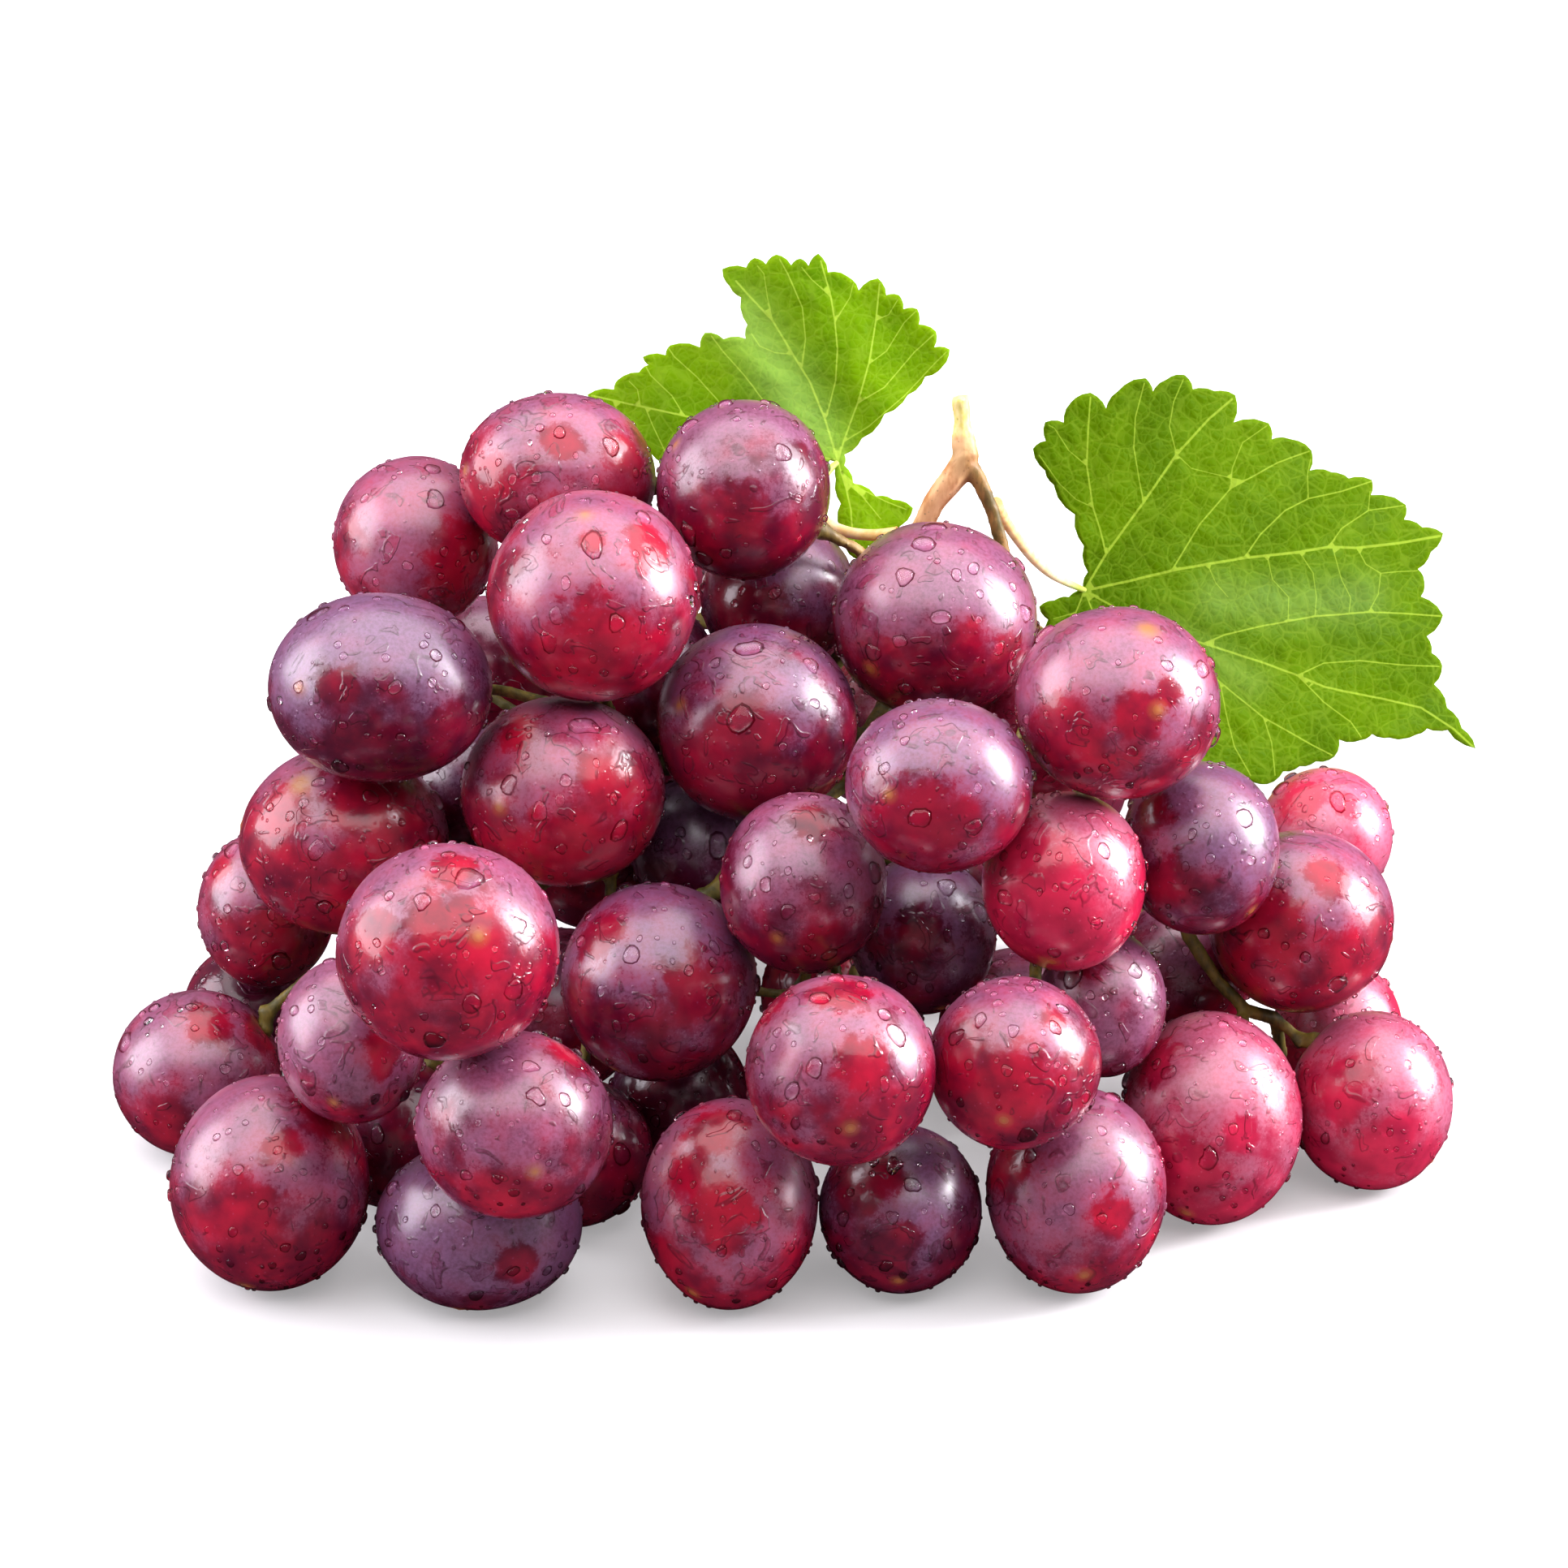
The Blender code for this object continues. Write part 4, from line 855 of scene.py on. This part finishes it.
RIGHT_LEAF_OUTLINE = [
    (1335, 727), (1341, 705), (1336, 673), (1325, 634), (1299, 598), (1288, 580),
    (1273, 553), (1289, 543), (1288, 520), (1311, 521), (1320, 496), (1343, 484),
    (1363, 505), (1378, 482), (1411, 466), (1420, 485), (1438, 468), (1459, 462),
    (1469, 480), (1496, 482), (1521, 487), (1519, 521), (1562, 521), (1566, 542),
    (1590, 541), (1615, 555), (1613, 580), (1641, 582), (1662, 590), (1689, 591),
    (1688, 610), (1731, 622), (1729, 640), (1752, 650), (1777, 657), (1762, 680),
    (1746, 701), (1754, 716), (1750, 735), (1777, 758), (1757, 784), (1763, 804),
    (1776, 820), (1766, 843), (1782, 872), (1800, 897), (1817, 922), (1784, 899),
    (1758, 897), (1745, 905), (1712, 909), (1690, 904), (1675, 912), (1649, 911),
    (1643, 932), (1620, 938), (1600, 944), (1580, 950), (1560, 966), (1535, 958),
    (1512, 962), (1490, 942), (1462, 940), (1440, 915), (1410, 905), (1392, 880),
    (1362, 868), (1345, 840), (1318, 826), (1310, 800), (1290, 790), (1292, 764),
    (1281, 748), (1300, 740), (1318, 736),
]
# Each vein: width in mm, then its pixels from the thick end.
LEFT_VEINS = [
    (0.60, [(1032, 569), (1016, 516), (997, 469), (977, 437), (952, 395), (923, 365), (907, 347)]),
    (0.34, [(977, 437), (955, 435), (936, 427), (926, 412)]),
    (0.38, [(989, 449), (993, 418), (989, 379), (971, 338), (961, 320)]),
    (0.26, [(952, 395), (946, 366), (942, 338), (934, 328)]),
    (0.45, [(1019, 512), (1030, 469), (1032, 430), (1028, 392), (1022, 360), (1011, 322)]),
    (0.26, [(1030, 395), (1047, 367), (1051, 350)]),
    (0.26, [(1024, 367), (1000, 345), (988, 330)]),
    (0.50, [(1032, 569), (1039, 545), (1057, 497), (1070, 449), (1079, 395), (1084, 350)]),
    (0.30, [(1070, 449), (1092, 433), (1114, 398), (1128, 384)]),
    (0.26, [(1079, 395), (1095, 388), (1106, 370)]),
    (0.34, [(1057, 497), (1089, 478), (1127, 434), (1150, 413)]),
    (0.28, [(1039, 545), (1070, 526), (1114, 488), (1150, 450), (1166, 434)]),
    (0.55, [(1032, 569), (1010, 563), (960, 545), (905, 527), (856, 516), (796, 502), (729, 488)]),
    (0.32, [(843, 513), (828, 488), (802, 463), (796, 452)]),
    (0.34, [(900, 526), (885, 494), (859, 465), (831, 440), (824, 430)]),
    (0.36, [(955, 543), (941, 494), (917, 462), (891, 433), (877, 414)]),
    (0.26, [(790, 500), (786, 480), (776, 470)]),
    (0.30, [(860, 517), (880, 548), (884, 580)]),
    (0.30, [(796, 502), (805, 525), (822, 560)]),
    (0.26, [(756, 494), (762, 510), (768, 522)]),
    (0.45, [(1032, 569), (1043, 606), (1048, 628), (1050, 654), (1056, 684)]),
    (0.30, [(1039, 592), (1062, 612), (1085, 640)]),
    (0.30, [(1036, 582), (1060, 603), (1090, 618), (1116, 628)]),
]
RIGHT_VEINS = [
    (0.50, [(1362, 682), (1354, 650), (1346, 625), (1338, 573), (1340, 530), (1343, 490)]),
    (0.28, [(1346, 625), (1325, 615), (1304, 595), (1280, 561)]),
    (0.28, [(1338, 573), (1316, 555), (1299, 528), (1292, 524)]),
    (0.70, [(1335, 727), (1362, 682), (1408, 619), (1449, 560), (1489, 516), (1517, 492)]),
    (0.36, [(1408, 619), (1396, 551), (1398, 514), (1409, 472)]),
    (0.32, [(1449, 560), (1440, 525), (1445, 495), (1457, 467)]),
    (0.24, [(1449, 560), (1467, 577), (1497, 584), (1530, 592)]),
    (0.80, [(1335, 727), (1389, 716), (1443, 703), (1532, 687), (1600, 680), (1636, 674),
            (1671, 675), (1722, 669), (1773, 660)]),
    (0.45, [(1443, 703), (1478, 645), (1515, 602), (1573, 570), (1612, 556)]),
    (0.30, [(1515, 602), (1517, 577), (1530, 545), (1560, 524)]),
    (0.42, [(1532, 687), (1552, 658), (1582, 629), (1611, 614), (1652, 605), (1688, 593)]),
    (0.24, [(1611, 614), (1610, 584), (1614, 566)]),
    (0.36, [(1636, 674), (1652, 651), (1685, 629), (1728, 623)]),
    (0.24, [(1685, 629), (1687, 605)]),
    (0.28, [(1671, 675), (1682, 695), (1700, 706), (1722, 704), (1745, 703)]),
    (0.24, [(1700, 706), (1697, 732), (1685, 754)]),
    (0.24, [(1560, 684), (1567, 714), (1587, 736), (1586, 763)]),
    (0.24, [(1600, 680), (1617, 706), (1621, 736), (1619, 758)]),
    (0.24, [(1641, 675), (1652, 714), (1663, 736), (1661, 755)]),
    (0.24, [(1487, 695), (1497, 718), (1512, 735)]),
    (0.62, [(1335, 727), (1371, 747), (1430, 775), (1482, 793), (1552, 815), (1598, 832),
            (1630, 846), (1652, 851), (1700, 860), (1750, 872), (1790, 898), (1814, 920)]),
    (0.50, [(1482, 793), (1508, 782), (1556, 771), (1619, 759), (1685, 754), (1730, 756),
            (1774, 759)]),
    (0.36, [(1598, 832), (1630, 817), (1674, 814), (1726, 819), (1772, 821)]),
    (0.34, [(1598, 832), (1630, 865), (1663, 889), (1676, 908)]),
    (0.45, [(1430, 775), (1470, 812), (1502, 840), (1556, 884), (1611, 915), (1640, 930)]),
    (0.34, [(1502, 840), (1510, 880), (1520, 920), (1540, 955)]),
    (0.34, [(1556, 884), (1566, 915), (1570, 955)]),
    (0.45, [(1335, 727), (1345, 752), (1370, 800), (1400, 850), (1436, 905)]),
    (0.32, [(1400, 850), (1440, 880), (1480, 930)]),
    (0.40, [(1335, 727), (1325, 754), (1312, 790)]),
    (0.26, [(1325, 754), (1297, 762)]),
]


def leaf_depth_left(across, down):
    """The left leaf leans back and curls a little."""
    x = (across - LEFT_JUNCTION[0]) * MM_PER_PIXEL
    u = (LEFT_JUNCTION[1] - down) * MM_PER_PIXEL
    fold = 0.10 * np.sqrt(x * x + 4.0)
    return 35.0 + 0.24 * u + 0.0035 * x * x + fold + 0.5 * np.sin(0.45 * x + 0.3 * u)


def leaf_depth_right(across, down):
    """The right leaf turns away from the bunch and falls to the table at its long tail."""
    x = (across - RIGHT_JUNCTION[0]) * MM_PER_PIXEL
    u = (RIGHT_JUNCTION[1] - down) * MM_PER_PIXEL
    return 72.0 + 0.55 * x + 0.0063 * x * x - 0.20 * u + 0.6 * np.sin(0.35 * x - 0.4 * u)


# %% [markdown]
# A tooth of a vine leaf is rounded on its sides and pointed at its tip, so each straight side
# of the outline is swelled outwards a little before the mesh is filled in.

# %% Build a leaf
EDGE_SWELL = 0.11
MESH_STEP = 6.0
ROW_SHARE = 0.87
EDGE_MARGIN = 0.5
VEIN_MARGIN = 0.4
LEAF_THICKNESS = 0.38
LEAF_LOWEST = 0.3
QUILT_HEIGHT = 0.30
QUILT_WIDTH = 5.0
RIB_HEIGHT = 0.07
RIB_WIDTH = 0.22
VEIN_SHARE = 0.42
FAR_OFF = 1e9


def inside(points, outline):
    """True for the points inside a closed outline."""
    found = np.zeros(len(points), dtype=bool)
    for a, b in zip(outline, np.roll(outline, -1, axis=0)):
        crosses = (a[1] > points[:, 1]) != (b[1] > points[:, 1])
        rise = b[1] - a[1] if b[1] != a[1] else 1e-9
        found ^= crosses & (a[0] + (points[:, 1] - a[1]) * (b[0] - a[0]) / rise > points[:, 0])
    return found


def swelled(outline):
    """The outline with the side of every tooth bent outwards."""
    outline = np.array(outline, dtype=float)
    after = np.roll(outline, -1, axis=0)
    area = (outline[:, 0] * after[:, 1] - after[:, 0] * outline[:, 1]).sum()
    edge = []
    for a, b in zip(outline, after):
        side = b - a
        out = np.array([side[1], -side[0]]) * (1 if area > 0 else -1) * EDGE_SWELL
        edge += [a, a + side * 0.3 + out * 0.85, a + side * 0.65 + out]
    return np.array(edge)


def stretch(pixels, step):
    """The same line with a point at least every step."""
    line = []
    for a, b in zip(np.array(pixels[:-1], float), np.array(pixels[1:], float)):
        pieces = max(1, int(np.linalg.norm(b - a) / step))
        line += [a + (b - a) * k / pieces for k in range(pieces)]
    return line + [np.array(pixels[-1], float)]


def leaf_mesh(name, outline, veins, depth_of, junction, painted_sheens):
    """The thick, quilted blade, painted with its distance to the veins."""
    edge = swelled(outline)
    rim = np.vstack([edge, edge[:1]])
    flat = [tuple(p) for p in edge]
    lines = [(k, (k + 1) % len(edge)) for k in range(len(edge))]
    for _, pixels in veins:
        line = stretch(pixels, MESH_STEP)
        lines += [(len(flat) + k, len(flat) + k + 1) for k in range(len(line) - 1)]
        flat += [tuple(p) for p in line]
    low, high = edge.min(0), edge.max(0)
    grid = np.array([(x + (row % 2) * MESH_STEP / 2, y)
                     for row, y in enumerate(np.arange(low[1], high[1], MESH_STEP * ROW_SHARE))
                     for x in np.arange(low[0], high[0], MESH_STEP)])
    grid = grid[inside(grid, edge)]
    far = distance_to_path(grid, rim) > MESH_STEP * EDGE_MARGIN
    for _, pixels in veins:
        far &= distance_to_path(grid, pixels) > MESH_STEP * VEIN_MARGIN
    flat += [tuple(p) for p in grid[far]]
    corners, _, faces, _, _, _ = delaunay_2d_cdt([Vector(p) for p in flat], lines, [], 1, 1e-4)
    spots = np.array([tuple(c) for c in corners])
    gap = np.full(len(spots), FAR_OFF)
    quilt = np.full(len(spots), FAR_OFF)
    for width, pixels in veins:
        away = distance_to_path(spots, pixels) * MM_PER_PIXEL
        gap = np.minimum(gap, away - width * VEIN_SHARE / 2)
        quilt = np.minimum(quilt, away / (0.6 + width))
    rib = hill(np.maximum(gap, 0.0), RIB_WIDTH)
    bulge = 1.0 - np.exp(-quilt ** 2 / QUILT_WIDTH)
    behind = depth_of(spots[:, 0], spots[:, 1])
    places = np.array([seen_at(x, y, d) for (x, y), d in zip(spots, behind)])
    behind = behind - QUILT_HEIGHT * bulge - RIB_HEIGHT * rib
    behind = behind + waves(places, 5.0, 21) * 0.10 + waves(places, 2.0, 22) * 0.04
    places = np.array([seen_at(x, y, d) for (x, y), d in zip(spots, behind)])
    places[:, 2] = np.maximum(places[:, 2], LEAF_LOWEST)
    # Painted sheen: pale colour painted where the leaf reflects the sky.
    painted_sheen = np.zeros(len(spots))
    for strength, width, pixels in painted_sheens:
        painted_sheen = np.maximum(painted_sheen, strength * hill(distance_to_path(spots, pixels), width))
    mesh = new_mesh(name, places, faces)
    paint(mesh, "vein_gap", gap)
    paint(mesh, "painted_sheen", painted_sheen)
    paint(mesh, "edge_gap", distance_to_path(spots, rim) * MM_PER_PIXEL)
    flat_layer = mesh.attributes.new("flat", "FLOAT_VECTOR", "POINT")
    laid = (spots - np.array(junction)) * MM_PER_PIXEL
    flat_layer.data.foreach_set("vector", np.hstack([laid, np.zeros((len(laid), 1))]).ravel())
    blade = new_object(name, mesh)
    thicken = blade.modifiers.new("thickness", "SOLIDIFY")
    thicken.thickness = LEAF_THICKNESS * MM
    thicken.offset = 0.0
    return finished_mesh(blade)


# Painted sheens, pale colour painted where a leaf reflects the sky: strength, width in pixels and
# a line.
LEFT_PAINTED_SHEENS = [(0.27, 34, [(916, 395), (955, 450), (985, 500), (1010, 545)])]
RIGHT_PAINTED_SHEENS = [(0.14, 30, [(1500, 735), (1600, 745), (1680, 735)]),
                (0.10, 26, [(1440, 780), (1540, 840)])]
leaf_left_mesh = leaf_mesh("vine_leaf_left", LEFT_LEAF_OUTLINE, LEFT_VEINS, leaf_depth_left,
                           LEFT_JUNCTION, LEFT_PAINTED_SHEENS)
leaf_right_mesh = leaf_mesh("vine_leaf_right", RIGHT_LEAF_OUTLINE, RIGHT_VEINS,
                            leaf_depth_right, RIGHT_JUNCTION, RIGHT_PAINTED_SHEENS)
print("leaf faces", len(leaf_left_mesh.polygons), len(leaf_right_mesh.polygons))

# %% [markdown]
# Between the veins that were drawn lies a finer net of veinlets, too many to draw. Two
# sizes of Voronoi cells give it: the cell borders are the veinlets. Both leaves use the group.

# %% The net of veinlets
TWIST_SIZE = 3000.0
SMALL_CELL = 0.38

net_group, g_in, g_out = new_group("veinlet net", {"Flat": None, "Cell": 2.2}, ["Net", "Puff"])
tree = net_group
twist = noise(tree, g_in.outputs["Flat"], TWIST_SIZE, 2.0)
shift = add(tree, "ShaderNodeCombineXYZ", {0: twist, 1: twist}).outputs[0]
bent = add(tree, "ShaderNodeVectorMath", {0: g_in.outputs["Flat"], 1: shift}, operation="ADD")
nets = []
for share in (1.0, SMALL_CELL):
    scale = maths(tree, "DIVIDE", 1.0, times(tree, g_in.outputs["Cell"], share))
    cells = add(tree, "ShaderNodeTexVoronoi", {"Vector": bent.outputs[0], "Scale": scale},
                feature="DISTANCE_TO_EDGE")
    nets.append(cells.outputs["Distance"])
wide = ramp(tree, nets[0], 0.015, 0.075, 1.0, 0.0)
narrow = ramp(tree, nets[1], 0.02, 0.13, 0.55, 0.0)
small_puff = times(tree, ramp(tree, nets[1], 0.0, 0.4), 0.5)
feed(tree, g_out, {"Net": maths(tree, "MAXIMUM", wide, narrow),
                   "Puff": maths(tree, "ADD", ramp(tree, nets[0], 0.0, 0.4), small_puff)})

PAINTED_SHEEN_COLOUR = (0.30, 0.46, 0.13)
VEIN_COVER = 0.62


def leaf_skin(name, dark, light, vein_colour, net_strength, roughness, shine):
    """The skin of one leaf: two greens, the net, a paler edge, the veins and the painted sheens.
    """
    material, tree, shader = new_material(name)
    flat = add(tree, "ShaderNodeAttribute", attribute_name="flat").outputs["Vector"]
    net = place_group(tree, net_group, {"Flat": flat, "Cell": 2.4})
    colour = blend(tree, ramp(tree, noise(tree, here(tree), 14.0, 3.0), 0.35, 0.65), dark, light)
    colour = blend(tree, times(tree, net.outputs["Net"], net_strength), colour, vein_colour)
    colour = blend(tree, ramp(tree, read(tree, "edge_gap"), 0.1, 0.9, 0.22, 0.0), colour,
                   (light[0] * 1.7, light[1] * 1.4, light[2]))
    vein = ramp(tree, read(tree, "vein_gap"), -0.08, 0.07, 1.0, 0.0)
    colour = blend(tree, times(tree, vein, VEIN_COVER), colour, vein_colour)
    feed(tree, shader, {
        # Painted sheen: the colour turns pale where the leaf reflects the sky.
        "Base Color": blend(tree, read(tree, "painted_sheen"), colour, PAINTED_SHEEN_COLOUR),
        "Roughness": ramp(tree, net.outputs["Puff"], 0.0, 1.0, roughness + 0.1, roughness),
        "Normal": bump(tree, net.outputs["Puff"], 0.6, 0.14),
        "Subsurface Weight": 0.35,
        "Subsurface Radius": (0.6, 1.0, 0.2),
        "Subsurface Scale": 0.8 * MM,
        "Specular IOR Level": shine,
    })
    return material


light_leaf = leaf_skin("leaf_light", (0.070, 0.158, 0.0001), (0.114, 0.224, 0.0002),
                       (0.34, 0.47, 0.045), 0.12, 0.40, 0.02)
dark_leaf = leaf_skin("leaf_dark", (0.044, 0.098, 0.0001), (0.066, 0.134, 0.0002),
                      (0.26, 0.37, 0.030), 0.14, 0.44, 0.015)
leaf_left = show("vine_leaf_left", leaf_left_mesh, light_leaf)
leaf_right = show("vine_leaf_right", leaf_right_mesh, dark_leaf)
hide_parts("leaf_left")
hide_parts("leaf_right")

# %% [markdown]
# ## The leaf stalks
#
# A petiole is a smooth rod that widens where it leaves the branch and thins into its blade. A
# bevelled curve with its own radius at each point is the quickest way to draw it, and it is
# turned into a mesh so that it can carry painted colours: a blush at the branch, pale wood
# further on and green at the leaf.

# %% Draw the petioles
LEFT_PETIOLE_PATH = [
    (1106, 657, 24.8), (1085, 660, 25.5), (1048, 658, 27),
    (1016, 645, 29.5), (1004, 612, 32), (1014, 583, 34), (1032, 570, 35),
]
RIGHT_PETIOLE_PATH = [
    (1227, 620, 23.5), (1236, 638, 29), (1252, 662, 40), (1276, 692, 53),
    (1306, 715, 64), (1336, 727, 71.5),
]
PETIOLE_RADIUS = 0.75
LEAF_END_START = 0.80
LEAF_END_LENGTH = 0.15
petiole_skin, tree, shader = new_material("petiole")
streaks = ramp(tree, noise(tree, here(tree), 1.6, 3.0), 0.35, 0.65)
young = blend(tree, streaks, (0.76, 0.66, 0.36), (0.86, 0.76, 0.52))
blush = blend(tree, streaks, (0.92, 0.55, 0.15), (0.97, 0.72, 0.30))
rod = blend(tree, read(tree, "blush"), young, blush)
feed(tree, shader, {
    "Base Color": blend(tree, read(tree, "leaf_end"), rod, (0.38, 0.50, 0.07)),
    "Roughness": 0.45,
    "Subsurface Weight": 0.3,
    "Subsurface Scale": 0.8 * MM,
})


def petiole(name, path, blush_start):
    """One leaf's stalk along its path of pixels and depths."""
    points = [seen_at(*pixel) for pixel in path]
    curve = bpy.data.curves.new(name, "CURVE")
    curve.dimensions = "3D"
    curve.bevel_depth = MM
    curve.bevel_resolution = 4
    curve.resolution_u = 10
    curve.use_fill_caps = True
    spline = curve.splines.new("NURBS")
    spline.points.add(len(points) - 1)
    spline.use_endpoint_u = True
    spline.order_u = 3
    share = np.linspace(0, 1, len(points))
    for knot, point, s in zip(spline.points, points, share):
        knot.co = (*(point * MM).tolist(), 1.0)
        knot.radius = PETIOLE_RADIUS * (1.0 + 0.25 * (2 * s - 1) ** 4) * (1.0 - 0.6 * s ** 8)
    mesh = finished_mesh(new_object(name, curve))
    spots = of_corners(mesh, "co") / MM
    along = np.linalg.norm(spots - points[0], axis=1) / np.linalg.norm(points[-1] - points[0])
    paint(mesh, "blush", np.clip(blush_start - along, 0, 1))
    paint(mesh, "leaf_end", np.clip((along - LEAF_END_START) / LEAF_END_LENGTH, 0, 1))
    return show(name, mesh, petiole_skin)


petiole("petiole_left", LEFT_PETIOLE_PATH, 1.1)
petiole("petiole_right", RIGHT_PETIOLE_PATH, 0.9)

# %% [markdown]
# ## Table and light
#
# The bunch lies on a seamless white table. A very large soft light overhead gives every berry
# its broad pale window, a tall one at the right with a narrow one in it gives the bright
# upright glint, and a weaker one at the left gives the soft lilac one. The camera sees the
# table evenly white, while reflections see it darker and the light that it throws back is
# rosy. The sky is stronger for the camera, so that it shows as plain white.

# %% Table
HALF_TABLE = 4.0
TABLE_SEEN = (0.66, 0.655, 0.66)
TABLE_MIRRORED = (0.05, 0.02, 0.03)
TABLE_LIT = (0.60, 0.54, 0.57)
TABLE_GLOW = 0.30
table_mesh = bpy.data.meshes.new("table")
table_mesh.from_pydata([(-HALF_TABLE, -HALF_TABLE, 0), (HALF_TABLE, -HALF_TABLE, 0),
                        (HALF_TABLE, HALF_TABLE, 0), (-HALF_TABLE, HALF_TABLE, 0)], [],
                       [(0, 1, 2, 3)])
table = new_object("table", table_mesh)
white, tree, shader = new_material("white_table")
path = add(tree, "ShaderNodeLightPath")
seen = path.outputs["Is Camera Ray"]
unseen = blend(tree, path.outputs["Is Glossy Ray"], TABLE_LIT, TABLE_MIRRORED)
feed(tree, shader, {
    "Base Color": blend(tree, seen, unseen, TABLE_SEEN),
    "Emission Color": (1.0, 0.985, 1.0, 1),
    "Emission Strength": times(tree, seen, TABLE_GLOW),
    "Roughness": 0.7,
    "Specular IOR Level": 0.1,
})
table_mesh.materials.append(white)

# %% Lights
BUNCH_MIDDLE = Vector((0, -0.02, 0.05))
# Name, place, width and height in metres, watts, colour.
LIGHTS = [
    ("light_top", (0.0, -0.03, 0.85), 1.45, 1.40, 19.0, (1.0, 0.97, 1.0)),
    ("light_right", (1.0, 0.08, 0.45), 0.60, 0.90, 20.5, (0.93, 0.92, 1.0)),
    ("light_glint", (0.97, 0.03, 0.42), 0.11, 0.32, 9.0, (1.0, 1.0, 1.0)),
    ("light_left", (-1.0, 0.0, 0.45), 0.85, 0.85, 15.5, (0.95, 0.91, 1.0)),
]
for name, place, width, height, watts, colour in LIGHTS:
    data = bpy.data.lights.new(name, "AREA")
    data.shape = "RECTANGLE"
    data.size = width
    data.size_y = height
    data.energy = watts
    data.color = colour
    item = new_object(name, data)
    item.location = place
    item.rotation_euler = (BUNCH_MIDDLE - Vector(place)).to_track_quat("-Z", "Y").to_euler()

SKY_LIGHT = 0.18
SKY_SEEN = 1.3
world = bpy.data.worlds.new("white_room")
bpy.context.scene.world = world
world.use_nodes = True
tree = world.node_tree
seen = add(tree, "ShaderNodeLightPath").outputs["Is Camera Ray"]
strength = maths(tree, "ADD", SKY_LIGHT, times(tree, seen, SKY_SEEN - SKY_LIGHT))
feed(tree, tree.nodes["Background"], {"Color": (1, 1, 1, 1), "Strength": strength})
bpy.context.scene.view_settings.view_transform = "Standard"
bpy.context.scene.cycles.use_denoising = True
